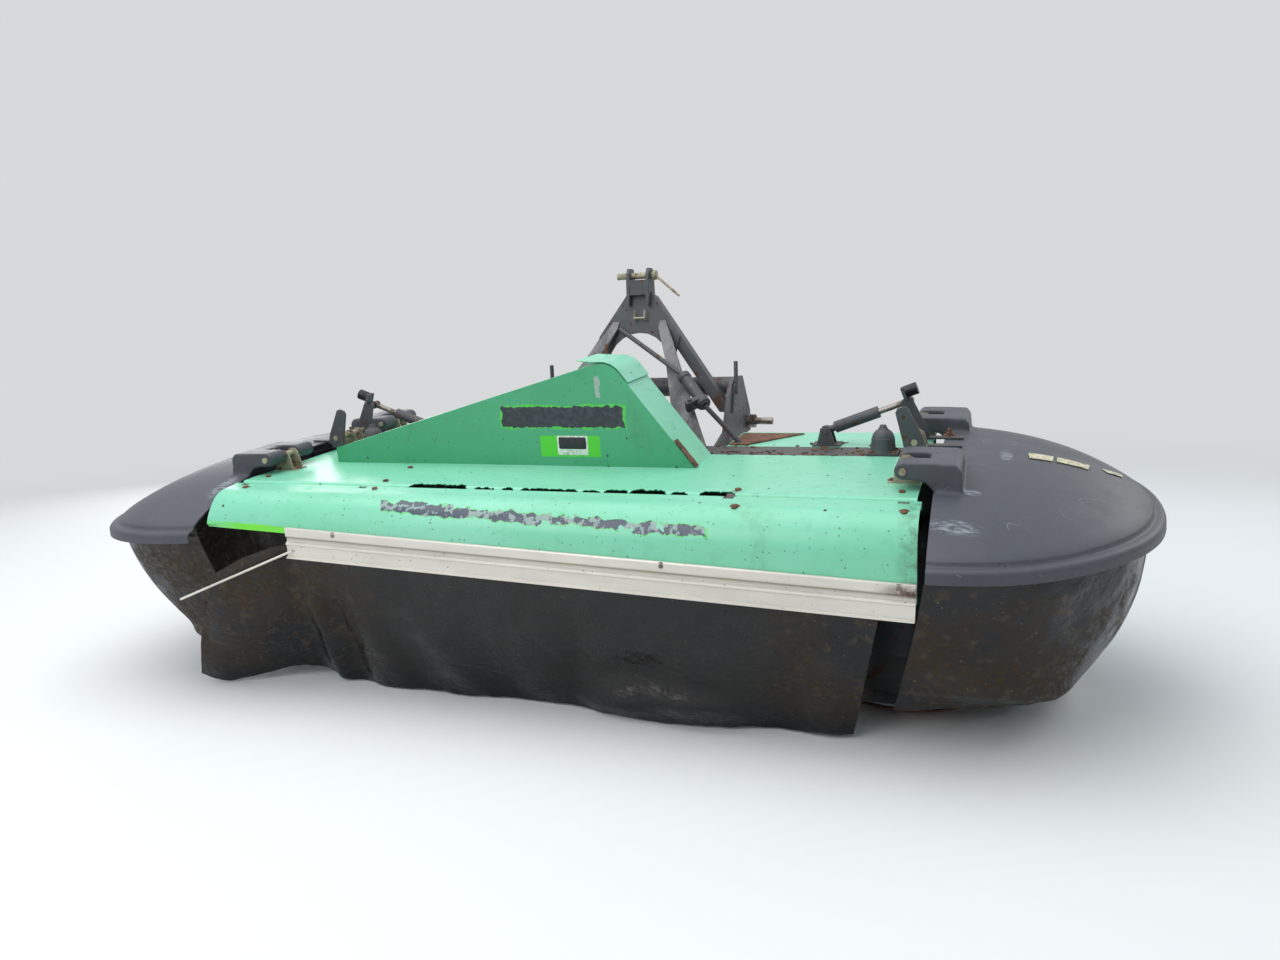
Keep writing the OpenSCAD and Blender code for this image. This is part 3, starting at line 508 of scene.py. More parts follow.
def green_base(tree, shader, lit_and_faded=None):
    """Faded paint with dust, grime and chips, lighter on upper faces and darker on upright ones as painted
    light and shade, as its colour, roughness and chip mask.
    """
    c = colours()
    place = placed(tree)
    # Upper faces take the lighter mint and upright ones the darker green: partly sun fading, partly painted
    # light on the tops and painted shade on the upright faces.
    lit_and_faded = upward(tree, -0.1, 0.6) if lit_and_faded is None else lit_and_faded
    cloud = blotches(tree, place, 2.6, 0.3, 0.72)
    colour = blend_colour(tree, lit_and_faded, c.green, c.mint)
    # Paler, bluer patches: partly weathered paint, and on the upper faces their pale blue-green also paints
    # the sky's reflection.
    pale = blend_colour(tree, lit_and_faded, srgb(0.33, 0.71, 0.53), srgb(0.66, 0.90, 0.81))
    colour = layer(tree, colour, cloud, 0.45, pale)
    drift = blotches(tree, place, 1.3, 0.40, 0.62, 3.0)
    fresh = blend_colour(tree, lit_and_faded, srgb(0.25, 0.60, 0.42), srgb(0.43, 0.79, 0.62))
    colour = layer(tree, colour, drift, 0.6, fresh)
    fine = blotches(tree, place, 22.0, 0.5, 0.75, 8.0)
    colour = layer(tree, colour, fine, 0.22, srgb(0.36, 0.66, 0.50))
    grime_place = placed(tree, scale=(1, 1, 0.35))
    grime = blotches(tree, grime_place, 7.0, 0.60, 0.78, 9.0)
    colour = layer(tree, colour, grime, 0.45, srgb(0.30, 0.42, 0.30))
    chips = specks(tree, place, 42.0, 0.16, 0.055)
    dots = specks(tree, place, 120.0, 0.30, 0.05)
    marks = scratches(tree, place, 5.0, 0.0012, 0.42)
    colour = layer(tree, colour, marks, 0.55, srgb(0.25, 0.60, 0.34))
    colour = layer(tree, colour, dots, 0.6, srgb(0.27, 0.31, 0.22))
    colour = blend_colour(tree, chips, colour, srgb(0.20, 0.14, 0.09))
    grain = noise_value(tree, place, 900.0)
    wave = noise_value(tree, place, 3.5)
    height = calc(tree, "MULTIPLY_ADD", wave, 9.0, times(tree, grain, 0.05))
    height = calc(tree, "SUBTRACT", height, times(tree, chips, 0.5))
    roughness = remap(tree, fine, 0.0, 1.0, 0.30, 0.48)
    raise_surface(tree, shader, height, 0.5, 0.0008)
    shader.inputs["Specular IOR Level"].default_value = 0.5
    return colour, roughness, chips


def finish_green():
    """The faded paint of the panels."""
    _, tree, shader = new_material("green_sheet")
    colour, roughness, _ = green_base(tree, shader)
    feed(tree, shader, colour=colour, roughness=roughness)


def finish_fairing():
    """The fairing's paint, with a torn dark strip and the unfaded patches round it."""
    _, tree, shader = new_material("fairing_sheet")
    c = colours()
    colour, roughness, _ = green_base(tree, shader)
    x, y, h = hood_placed(tree)[:3]
    front = calc(tree, "LESS_THAN", y, -0.1025)
    place = placed(tree)

    def window(left, right, low, high, tear, scale=30.0):
        mask = torn_window(tree, place, x, h, (left, right, low, high), tear, scale)
        return times(tree, mask, front)

    torn_paint = times(tree, window(-0.268, 0.194, 0.231, 0.309, 0.030, 24.0), 0.75)
    colour = blend_colour(tree, torn_paint, colour, c.lime)
    faded_back = window(-0.270, 0.198, 0.229, 0.312, 0.036, 24.0)
    colour = blend_colour(tree, window(-0.124, 0.095, 0.134, 0.206, 0.0015), colour, c.lime)
    dark = times(tree, window(-0.262, 0.186, 0.2345, 0.305, 0.034, 42.0), faded_back)
    mottled = blotches(tree, place, 60.0, 0.4, 0.7)
    strip = blend_colour(tree, mottled, srgb(0.15, 0.17, 0.20), srgb(0.24, 0.26, 0.30))
    colour = blend_colour(tree, dark, colour, strip)
    scrape = window(0.090, 0.108, 0.335, 0.405, 0.022, 60.0)
    colour = blend_colour(tree, scrape, colour, srgb(0.62, 0.68, 0.66))
    feed(tree, shader, colour=colour, roughness=roughness)


def finish_flap():
    """The flap's paint, with the remains of a pale strip, a lime lower edge and grime at its ends."""
    _, tree, shader = new_material("flap_sheet")
    c = colours()
    # The whole flap, its upright front too, takes the upper faces' lighter green: painted light where the sky
    # lights its curved face.
    colour, roughness, _ = green_base(tree, shader, 1.0)
    x, _, h = hood_placed(tree)[:3]
    place = placed(tree)
    # The strip follows a line that drops to the right by this much a metre.
    line = calc(tree, "MULTIPLY_ADD", x, 0.029, h)
    strip = torn_window(tree, place, x, line, (-0.50, 0.585, 0.040, 0.065), 0.040, 26.0)
    patch = blotches(tree, place, 9.0, 0.44, 0.45, 4.0)
    strip = times(tree, strip, patch)
    halo = torn_window(tree, place, x, line, (-0.51, 0.595, 0.037, 0.067), 0.042, 26.0)
    colour = blend_colour(tree, times(tree, halo, times(tree, patch, 0.55)), colour, c.lime)
    tone = blotches(tree, place, 34.0, 0.50, 0.53)
    residue = blend_colour(tree, tone, srgb(0.29, 0.32, 0.38), srgb(0.56, 0.64, 0.62))
    colour = blend_colour(tree, strip, colour, residue)
    # Bare of the rail, the lower edge keeps its first colour.
    edge = calc(tree, "MULTIPLY_ADD", x, RAIL_TILT, h)
    unfaded = (-1.2, RAIL_LEFT, -0.08, RAIL_TOP - 0.001)
    bare = torn_window(tree, place, x, edge, unfaded, 0.008, 9.0)
    lit = srgb(0.45, 0.88, 0.22)
    colour = blend_colour(tree, times(tree, bare, remap(tree, x, -1.12, -1.0, 0.45, 1.0)), colour, lit)
    sooty = blotches(tree, place, 30.0, 0.35, 0.75, 8.0)
    end = remap(tree, x, 1.085, 1.135)
    colour = layer(tree, colour, times(tree, end, sooty), 0.7, srgb(0.30, 0.36, 0.28))
    feed(tree, shader, colour=colour, roughness=roughness)


def finish_plastic():
    """The moulded covers, with dust, scratches, pits and a few scuffed patches, and painted shade that
    darkens their upright faces.
    """
    _, tree, shader = new_material("slate_plastic")
    c = colours()
    place = placed(tree)
    # Painted shade: upright faces take 0.72 of the plastic's colour, the tops its full colour.
    top = upward(tree, 0.2, 0.95)
    colour = blend_colour(tree, top, tuple(v * 0.72 for v in c.plastic), c.plastic)
    cloud = blotches(tree, place, 3.2, 0.35, 0.70, 7.0)
    colour = layer(tree, colour, cloud, 0.5, srgb(0.34, 0.35, 0.375))
    dust = blotches(tree, place, 60.0, 0.55, 0.8, 6.0)
    colour = layer(tree, colour, dust, 0.25, srgb(0.45, 0.44, 0.43))
    lines = scratches(tree, place, 3.0, 0.0011, 0.46)
    swirls = scratches(tree, placed(tree, scale=(1.0, 2.2, 1.0), turn=(0, 0, 0.6)), 9.0, 0.0022, 0.36)
    pale = calc(tree, "MAXIMUM", times(tree, lines, 0.5), times(tree, swirls, 0.4))
    colour = blend_colour(tree, pale, colour, srgb(0.56, 0.57, 0.60))
    pits = specks(tree, place, 90.0, 0.22, 0.05)
    colour = layer(tree, colour, pits, 0.7, srgb(0.16, 0.15, 0.14))
    # Scuffed patches: place on the cover, and size along X and Y.
    scuffs = None
    for cx, cy, wide, deep in (
        (1.235, -0.500, 0.075, 0.030), (1.36, 0.03, 0.020, 0.075), (1.27, -0.33, 0.028, 0.02),
        (-1.215, -0.43, 0.035, 0.075),
    ):
        shift = placed(tree, shift=(-cx, -cy - DRUM_LINE, -0.7), scale=(1 / wide, 1 / deep, 0.0))
        spot = remap(tree, length_of(tree, shift), 1.15, 0.55)
        scuffs = spot if scuffs is None else calc(tree, "MAXIMUM", scuffs, spot)
    worn = blotches(tree, placed(tree, scale=(1, 3, 1), turn=(0, 0, 0.35)), 34.0, 0.42, 0.62, 8.0)
    colour = layer(tree, colour, times(tree, scuffs, worn), 0.75, srgb(0.60, 0.63, 0.67))
    grain = noise_value(tree, place, 700.0)
    wave = noise_value(tree, place, 5.0, 3.0)
    height = calc(tree, "MULTIPLY_ADD", wave, 3.0, times(tree, grain, 0.18))
    height = calc(tree, "SUBTRACT", height, times(tree, pale, 0.3))
    raise_surface(tree, shader, height, 0.6, 0.0008)
    feed(tree, shader, colour=colour, roughness=remap(tree, cloud, 0.0, 1.0, 0.44, 0.58))


def finish_rubber():
    """The curtains, with dried mud, crusts, bits of grass and a middle that is rubbed clean."""
    _, tree, shader = new_material("dirty_rubber")
    c = colours()
    place = placed(tree)
    low = coordinate(tree, place, 2)
    patches = blotches(tree, place, 3.4, 0.40, 0.54, 6.0)
    speckled = blotches(tree, place, 60.0, 0.36, 0.60, 9.0)
    middle = times(tree, remap(tree, low, 0.02, 0.14), remap(tree, low, 0.62, 0.44))
    # The middle stretch of the front curtain is rubbed clean.
    across = coordinate(tree, place, 0)
    rubbed = remap(tree, calc(tree, "ABSOLUTE", calc(tree, "SUBTRACT", across, 0.08)), 0.55, 0.88, 0.10, 1.0)
    middle = times(tree, middle, rubbed)
    dirt = times(tree, times(tree, patches, middle), remap(tree, speckled, 0, 1, 0.25, 1.0))
    dust = blotches(tree, place, 9.0, 0.40, 0.75, 9.0)
    # The base is dark rubber whose blue tint is painted reflection of the sky, with lighter dust laid over
    # it.
    base = layer(tree, c.rubber, dust, 0.4, srgb(0.115, 0.116, 0.124))
    colour = blend_colour(tree, dirt, base, c.dirt)
    crust = blotches(tree, place, 26.0, 0.54, 0.64, 9.0)
    colour = layer(tree, colour, times(tree, crust, middle), 0.6, srgb(0.27, 0.22, 0.155))
    grass = scratches(tree, placed(tree, scale=(1, 1, 0.8)), 42.0, 0.006, 0.40)
    colour = layer(tree, colour, times(tree, grass, dirt), 0.6, srgb(0.40, 0.33, 0.21))
    bits = specks(tree, place, 110.0, 0.20, 0.05)
    bits = times(tree, bits, remap(tree, rubbed, 0, 1, 0.25, 0.7))
    colour = blend_colour(tree, bits, colour, srgb(0.47, 0.42, 0.33))
    wet = blotches(tree, place, 5.0, 0.4, 0.65)
    roughness = blend_value(tree, dirt, remap(tree, wet, 0, 1, 0.24, 0.44), 0.82)
    dents = noise_value(tree, placed(tree, scale=(1, 1, 1.6), turn=(0, 0.5, 0)), 6.0, 4.0)
    grain = noise_value(tree, place, 400.0, 4.0)
    height = calc(tree, "MULTIPLY_ADD", dents, 30.0, times(tree, grain, 0.35))
    height = calc(tree, "MULTIPLY_ADD", dirt, 1.2, height)
    height = calc(tree, "MULTIPLY_ADD", crust, 0.8, height)
    raise_surface(tree, shader, height, 0.7, 0.001)
    shader.inputs["Specular IOR Level"].default_value = 0.40
    feed(tree, shader, colour=colour, roughness=roughness)


def finish_steel():
    """The frame's dark paint, dusty on top and rusted in patches and spots."""
    _, tree, shader = new_material("worn_steel_paint")
    c = colours()
    place = placed(tree)
    cloud = blotches(tree, place, 5.0, 0.35, 0.70, 8.0)
    colour = blend_colour(tree, cloud, c.steel, srgb(0.335, 0.335, 0.345))
    top = upward(tree, 0.3, 0.95)
    dusty = blotches(tree, place, 16.0, 0.35, 0.65, 8.0)
    colour = layer(tree, colour, times(tree, top, dusty), 0.6, srgb(0.36, 0.31, 0.26))
    patches = blotches(tree, place, 11.0, 0.59, 0.66, 10.0)
    spots = specks(tree, place, 55.0, 0.32, 0.16)
    rusted = calc(tree, "MAXIMUM", patches, spots)
    tone = blotches(tree, place, 90.0, 0.3, 0.7)
    brown = blend_colour(tree, tone, srgb(0.25, 0.17, 0.12), srgb(0.42, 0.27, 0.18))
    colour = layer(tree, colour, rusted, 0.85, brown)
    marks = scratches(tree, placed(tree, scale=(1, 1, 0.4)), 12.0, 0.004, 0.40)
    colour = layer(tree, colour, marks, 0.5, srgb(0.50, 0.49, 0.49))
    grain = noise_value(tree, place, 240.0, 5.0)
    height = calc(tree, "MULTIPLY_ADD", rusted, 0.6, grain)
    raise_surface(tree, shader, height, 0.5, 0.0006)
    feed(tree, shader, colour=colour, roughness=blend_value(tree, rusted, 0.52, 0.85))


def finish_strut():
    """The headstock's inner struts: rubbed pale in a long stretch on each face."""
    _, tree, shader = new_material("rubbed_strut")
    place = placed(tree)
    rubbed = blotches(tree, placed(tree, scale=(2.4, 1, 1)), 2.6, 0.36, 0.60, 8.0)
    colour = blend_colour(tree, rubbed, srgb(0.30, 0.30, 0.315), srgb(0.47, 0.465, 0.475))
    fine = blotches(tree, place, 70.0, 0.45, 0.7, 8.0)
    colour = layer(tree, colour, fine, 0.5, srgb(0.33, 0.28, 0.23))
    low = coordinate(tree, place, 2)
    foot = times(tree, remap(tree, low, 0.93, 0.80), fine)
    colour = blend_colour(tree, foot, colour, srgb(0.30, 0.21, 0.15))
    marks = scratches(tree, placed(tree, scale=(1, 0.3, 0.3)), 22.0, 0.008, 0.44)
    colour = layer(tree, colour, marks, 0.5, srgb(0.60, 0.59, 0.58))
    raise_surface(tree, shader, fine, 0.4, 0.0006)
    feed(tree, shader, colour=colour, roughness=remap(tree, rubbed, 0, 1, 0.62, 0.45))


def finish_rust():
    """Rust in two browns, with pits."""
    _, tree, shader = new_material("rusted_steel")
    place = placed(tree)
    c = colours()
    tone = blotches(tree, place, 14.0, 0.3, 0.7, 10.0)
    colour = blend_colour(tree, tone, c.rust, srgb(0.50, 0.35, 0.27))
    dark = blotches(tree, place, 38.0, 0.52, 0.66, 8.0)
    colour = layer(tree, colour, dark, 0.7, srgb(0.20, 0.15, 0.12))
    pits = noise_value(tree, place, 160.0, 6.0)
    raise_surface(tree, shader, pits, 0.8, 0.0012)
    feed(tree, shader, colour=colour, roughness=remap(tree, pits, 0.3, 0.7, 0.72, 0.95))


def finish_bare_steel():
    """Bare steel that has begun to rust."""
    _, tree, shader = new_material("worn_bare_steel")
    place = placed(tree)
    rusted = blotches(tree, place, 26.0, 0.42, 0.62, 9.0)
    colour = blend_colour(tree, rusted, srgb(0.56, 0.54, 0.51), srgb(0.33, 0.23, 0.17))
    marks = scratches(tree, place, 30.0, 0.01, 0.45)
    colour = layer(tree, colour, marks, 0.4, srgb(0.72, 0.71, 0.69))
    raise_surface(tree, shader, rusted, 0.4, 0.0005)
    feed(tree, shader, colour=colour, metallic=remap(tree, rusted, 0, 1, 0.85, 0.1),
         roughness=remap(tree, rusted, 0, 1, 0.38, 0.85))


def finish_zinc():
    """Dull zinc with dirt and rusty spots."""
    _, tree, shader = new_material("dull_zinc")
    c = colours()
    place = placed(tree)
    dirty = blotches(tree, place, 20.0, 0.46, 0.70, 9.0)
    colour = layer(tree, c.zinc, dirty, 0.8, srgb(0.40, 0.35, 0.27))
    spots = specks(tree, place, 80.0, 0.3, 0.18)
    colour = blend_colour(tree, spots, colour, srgb(0.26, 0.19, 0.13))
    raise_surface(tree, shader, dirty, 0.4, 0.0005)
    shader.inputs["Metallic"].default_value = 0.25
    feed(tree, shader, colour=colour, roughness=remap(tree, dirty, 0, 1, 0.48, 0.8))


def finish_alloy():
    """The drawn rail, with a darker groove, dots and a rusty right end."""
    _, tree, shader = new_material("extruded_alloy")
    c = colours()
    place = placed(tree)
    x, _, h = hood_placed(tree)[:3]
    down = calc(tree, "MULTIPLY_ADD", x, RAIL_TILT, h)
    groove = times(tree, remap(tree, down, -0.082, -0.066), remap(tree, down, -0.060, -0.0655))
    cloud = blotches(tree, placed(tree, scale=(0.3, 1, 1)), 12.0, 0.35, 0.7, 7.0)
    colour = layer(tree, c.alloy, cloud, 0.5, srgb(0.76, 0.74, 0.70))
    colour = layer(tree, colour, groove, 0.75, srgb(0.60, 0.56, 0.50))
    web = times(tree, remap(tree, down, -0.085, -0.06), remap(tree, down, -0.03, -0.055))
    end = times(tree, remap(tree, x, 1.02, 1.14), web)
    rusty = blotches(tree, place, 60.0, 0.3, 0.6)
    colour = blend_colour(tree, times(tree, end, remap(tree, rusty, 0, 1, 0.5, 1.0)), colour,
                          srgb(0.30, 0.19, 0.13))
    dots = specks(tree, place, 100.0, 0.22, 0.07)
    colour = layer(tree, colour, dots, 0.6, srgb(0.45, 0.40, 0.34))
    drawn = noise_value(tree, placed(tree, scale=(0.02, 1, 1)), 700.0, 3.0)
    raise_surface(tree, shader, drawn, 0.25, 0.0003)
    shader.inputs["Metallic"].default_value = 0.35
    feed(tree, shader, colour=colour, roughness=remap(tree, drawn, 0.3, 0.7, 0.34, 0.46))


def finish_leaves():
    """Dead leaves and crumbs of rust."""
    _, tree, shader = new_material("dead_leaves")
    place = placed(tree)
    tone = noise_value(tree, place, 45.0, 1.0)
    colour = blend_colour(tree, remap(tree, tone, 0.38, 0.62), srgb(0.20, 0.13, 0.09), srgb(0.42, 0.29, 0.19))
    veins = noise_value(tree, place, 300.0, 3.0)
    raise_surface(tree, shader, veins, 0.6, 0.0008)
    feed(tree, shader, colour=colour, roughness=remap(tree, veins, 0.3, 0.7, 0.65, 0.9))


def finish_plate():
    """Blank label plates: pale with rubbed edges."""
    for name, colour, spot in (("blank_cream", srgb(0.86, 0.83, 0.70), srgb(0.48, 0.44, 0.34)),
                               ("blank_white", srgb(0.90, 0.91, 0.88), srgb(0.70, 0.72, 0.64)),
                               ("blank_dark", srgb(0.10, 0.105, 0.115), srgb(0.17, 0.17, 0.18))):
        _, tree, shader = new_material(name)
        worn = blotches(tree, placed(tree), 80.0, 0.45, 0.66, 6.0)
        feed(tree, shader, colour=blend_colour(tree, worn, colour, spot),
             roughness=remap(tree, worn, 0, 1, 0.35, 0.6))


# Modelling helpers


def clear_selection():
    bpy.ops.object.select_all(action="DESELECT")


def choose(*pieces):
    """Selects pieces and makes the first one active."""
    clear_selection()
    for piece in pieces:
        piece.select_set(True)
    bpy.context.view_layer.objects.active = pieces[0]


def grid_piece(name, columns, rows, place):
    """A sheet of quads whose point at (u, v), each from 0 to 1, lies at place(u, v)."""
    clear_selection()
    bpy.ops.mesh.primitive_grid_add(x_subdivisions=columns, y_subdivisions=rows, size=1.0)
    piece = bpy.context.object
    piece.name = name
    for vertex in piece.data.vertices:
        vertex.co = place(vertex.co.x + 0.5, vertex.co.y + 0.5)
    return piece


def modify(piece, kind, **settings):
    """Adds a modifier and applies it."""
    choose(piece)
    bpy.ops.object.modifier_add(type=kind)
    modifier = piece.modifiers[-1]
    for name, value in settings.items():
        setattr(modifier, name, value)
    bpy.ops.object.modifier_apply(modifier=modifier.name)


def edit(piece):
    """Opens a piece in edit mode with all of it selected."""
    choose(piece)
    bpy.ops.object.mode_set(mode="EDIT")
    bpy.ops.mesh.select_all(action="SELECT")


def tidy_mesh(piece, distance=0.0002, outwards=True):
    """Merges doubled points and turns the faces outwards."""
    edit(piece)
    bpy.ops.mesh.remove_doubles(threshold=distance)
    if outwards:
        bpy.ops.mesh.normals_make_consistent(inside=False)
    bpy.ops.object.mode_set(mode="OBJECT")


def cut_faces(piece, test):
    """Deletes the faces whose middle passes a test."""
    choose(piece)
    bpy.ops.object.mode_set(mode="EDIT")
    bpy.ops.mesh.select_mode(type="FACE")
    bpy.ops.mesh.select_all(action="DESELECT")
    bpy.ops.object.mode_set(mode="OBJECT")
    for polygon in piece.data.polygons:
        polygon.select = test(polygon.center)
    bpy.ops.object.mode_set(mode="EDIT")
    bpy.ops.mesh.delete(type="FACE")
    bpy.ops.object.mode_set(mode="OBJECT")


def flip(piece):
    edit(piece)
    bpy.ops.mesh.flip_normals()
    bpy.ops.object.mode_set(mode="OBJECT")


def thicken(piece, thickness, offset=-1.0):
    modify(piece, "SOLIDIFY", thickness=thickness, offset=offset, use_even_offset=True)


def settle(piece):
    """Puts a piece's place into its mesh."""
    choose(piece)
    bpy.ops.object.transform_apply(location=True, rotation=True, scale=True)


def complete(piece, body, material, angle=35.0):
    """Gives a piece its finish and lets it ride on a body."""
    settle(piece)
    piece.data.materials.clear()
    piece.data.materials.append(bpy.data.materials[material])
    bpy.ops.object.shade_smooth_by_angle(angle=math.radians(angle))
    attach(piece, body)
    return piece


def join(name, pieces):
    choose(*pieces)
    if len(pieces) > 1:
        bpy.ops.object.join()
    pieces[0].name = name
    return pieces[0]


def standing(point, normal, spin=0.0):
    """A matrix that puts Z along normal at point."""
    turn = Vector(normal).normalized().to_track_quat("Z", "Y").to_matrix().to_4x4()
    return Matrix.Translation(Vector(point)) @ turn @ Matrix.Rotation(spin, 4, "Z")


def prism(sides, radius, low, high, bevel=0.0):
    """An upright prism or disc with bevelled edges."""
    clear_selection()
    bpy.ops.mesh.primitive_cylinder_add(vertices=sides, radius=radius, depth=high - low,
                                        location=(0, 0, (low + high) / 2))
    piece = bpy.context.object
    settle(piece)
    if bevel:
        modify(piece, "BEVEL", width=bevel, segments=2, limit_method="ANGLE", angle_limit=math.radians(50))
    return piece


def bolt_head(radius, length=0.0):
    """A hexagon head on its washer, with a stub of thread above it when it has a length."""
    parts = [
        prism(24, radius * 1.75, -radius * 0.2, radius * 0.22, radius * 0.06),
        prism(6, radius * 1.05, radius * 0.1, radius * 0.85, radius * 0.12),
    ]
    if length:
        parts.append(prism(16, radius * 0.55, radius * 0.5, radius * 0.85 + length, radius * 0.1))
    return join("bolt", parts)


def bolts(name, places, body, material="rusted_steel", radius=None, length=0.0):
    """Bolts at (point, normal) places, as one piece."""
    model = bolt_head(radius or sizes().bolt, length)
    rng = random.Random(len(places) * 7 + len(name))
    copies = []
    for point, normal in places:
        copy = model.copy()
        copy.data = model.data.copy()
        bpy.context.collection.objects.link(copy)
        copy.matrix_world = standing(point, normal, rng.uniform(0, 1.0))
        copies.append(copy)
    bpy.data.objects.remove(model)
    for copy in copies:
        settle(copy)
    return complete(join(name, copies), body, material, 30.0)


def tube(name, points, radius):
    """A round bar or hose through points."""
    curve = bpy.data.curves.new(name, "CURVE")
    curve.dimensions = "3D"
    curve.bevel_depth = radius
    curve.bevel_resolution = 5
    curve.use_fill_caps = True
    spline = curve.splines.new("POLY")
    spline.points.add(len(points) - 1)
    for target, point in zip(spline.points, points):
        target.co = (*point, 1.0)
    piece = bpy.data.objects.new(name, curve)
    bpy.context.collection.objects.link(piece)
    choose(piece)
    bpy.ops.object.convert(target="MESH")
    piece = bpy.context.object
    tidy_mesh(piece)
    return piece


def outline_piece(name, outline, thickness, matrix, bevel=0.0):
    """A plate: a closed outline in XY, raised along Z by its thickness, then placed by a matrix."""
    clear_selection()
    bpy.ops.mesh.primitive_circle_add(vertices=len(outline), radius=1.0, fill_type="NGON")
    piece = bpy.context.object
    piece.name = name
    for vertex, (x, y) in zip(piece.data.vertices, outline):
        vertex.co = (x, y, 0.0)
    bpy.ops.object.mode_set(mode="EDIT")
    bpy.ops.mesh.select_all(action="SELECT")
    bpy.ops.mesh.extrude_region_move(TRANSFORM_OT_translate={"value": (0, 0, thickness)})
    bpy.ops.mesh.select_all(action="SELECT")
    bpy.ops.mesh.normals_make_consistent(inside=False)
    bpy.ops.object.mode_set(mode="OBJECT")
    if bevel:
        modify(piece, "BEVEL", width=bevel, segments=2, limit_method="ANGLE", angle_limit=math.radians(35))
    piece.matrix_world = matrix
    settle(piece)
    return piece


def arc(centre, radius, start, stop, steps):
    """Points of an arc in a plane, between two angles in degrees."""
    return [
        (centre[0] + radius * math.cos(math.radians(a)), centre[1] + radius * math.sin(math.radians(a)))
        for a in (start + (stop - start) * i / steps for i in range(steps + 1))
    ]


def paint(material, *names):
    """Gives CAD nodes a finish."""
    for name in names:
        node = NODES[name]
        node.data.materials.clear()
        node.data.materials.append(bpy.data.materials[material])


# Pieces


# Profile of a side cover outwards from the middle of its inner edge: share of the way to the
# step, distance past it, and height above the dome.
COVER_PROFILE = [
    (0.0, 0, 0), (0.12, 0, 0), (0.25, 0, 0), (0.38, 0, 0), (0.5, 0, 0), (0.62, 0, 0), (0.74, 0, 0),
    (0.85, 0, 0), (0.93, 0, 0), (0.975, 0, -0.0005), (1, 0.0005, -0.004), (1, 0.004, -0.011),
    (1, 0.009, -0.0155), (1, 0.017, -0.0165), (1, 0.025, -0.0185), (1, 0.031, -0.023),
    (1, 0.0345, -0.030), (1, 0.0355, -0.042), (1, 0.036, -0.053),
]
# How full each cover's outline is, from its front end round to its rear end, every 10 degrees.
FULLNESS = {
    1: [0.95, 0.95, 0.958, 0.965, 0.975, 0.99, 1.01, 1.025, 1.03, 1.03, 1.03, 1.025, 1.02, 1.015, 1.01, 1.005,
        1.0, 1.0, 1.0],
    -1: [0.955, 0.985, 1.03, 1.08, 1.12, 1.13, 1.12, 1.10, 1.08, 1.05, 1.035, 1.025, 1.02, 1.015, 1.01, 1.005,
         1.0, 1.0, 1.0],
}


def fullness(side, angle):
    table = FULLNESS[side]
    t = min(1.0, max(0.0, math.degrees(angle) / 180 + 0.5))
    return through([(f, 0, 0) for f in table], t).x


def cover_height(r):
    return COVER_RISE * (1 - min(1.0, r) ** 3)


def cover_point(side, profile, angle):
    """A point of a cover's outer face, for a place on its profile and an angle from -90 to 90."""
    share, out, above = profile
    full = fullness(side, angle)
    x = (COVER_WIDE * share + out) * math.cos(angle) * full
    y = COVER_MID + (COVER_HALF * share + out) * math.sin(angle) * full
    return x, y, cover_height(share) + above - COVER_DROOP * x


def side_name(side):
    return "right" if side > 0 else "left"


def make_cover(side):
    """A moulded side cover with its step and rim, and its hinge lugs."""
    name = side_name(side)
    wall = sizes().cover_wall

    def place(u, v):
        angle = math.radians(-90 + 180 * u)
        profile = through(COVER_PROFILE, v)
        x, y, h = cover_point(side, (min(1.0, profile.x), profile.y, profile.z), angle)
        soft = smooth_step(v, 0.25, 0.5) * smooth_step(1.0 - v, 0.3, 0.45)
        h += soft * 0.0022 * noise.noise(Vector((x * 4 + side, y * 4, 3.0)))
        return hood(side * (COVER_IN + x), y, h)

    shell = grid_piece(name + "_cover_shell", 150, 72, place)
    tidy_mesh(shell, 0.0004, outwards=False)
    if side > 0:
        flip(shell)
    thicken(shell, wall)
    complete(shell, name + "_side_cover", "slate_plastic", 50.0)
    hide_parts(name + "_cover")
    for i, middle in enumerate(LUG_PLACES):
        make_lug(side, middle, "%s_cover_lug_%d" % (name, i + 1))
    return shell


def dome_height(side, x, y):
    """Height of a cover's top at X out from its inner edge and Y."""
    across, along = x / COVER_WIDE, (y - COVER_MID) / COVER_HALF
    r = math.hypot(across, along) / fullness(side, math.atan2(along, across))
    return cover_height(r) - COVER_DROOP * x


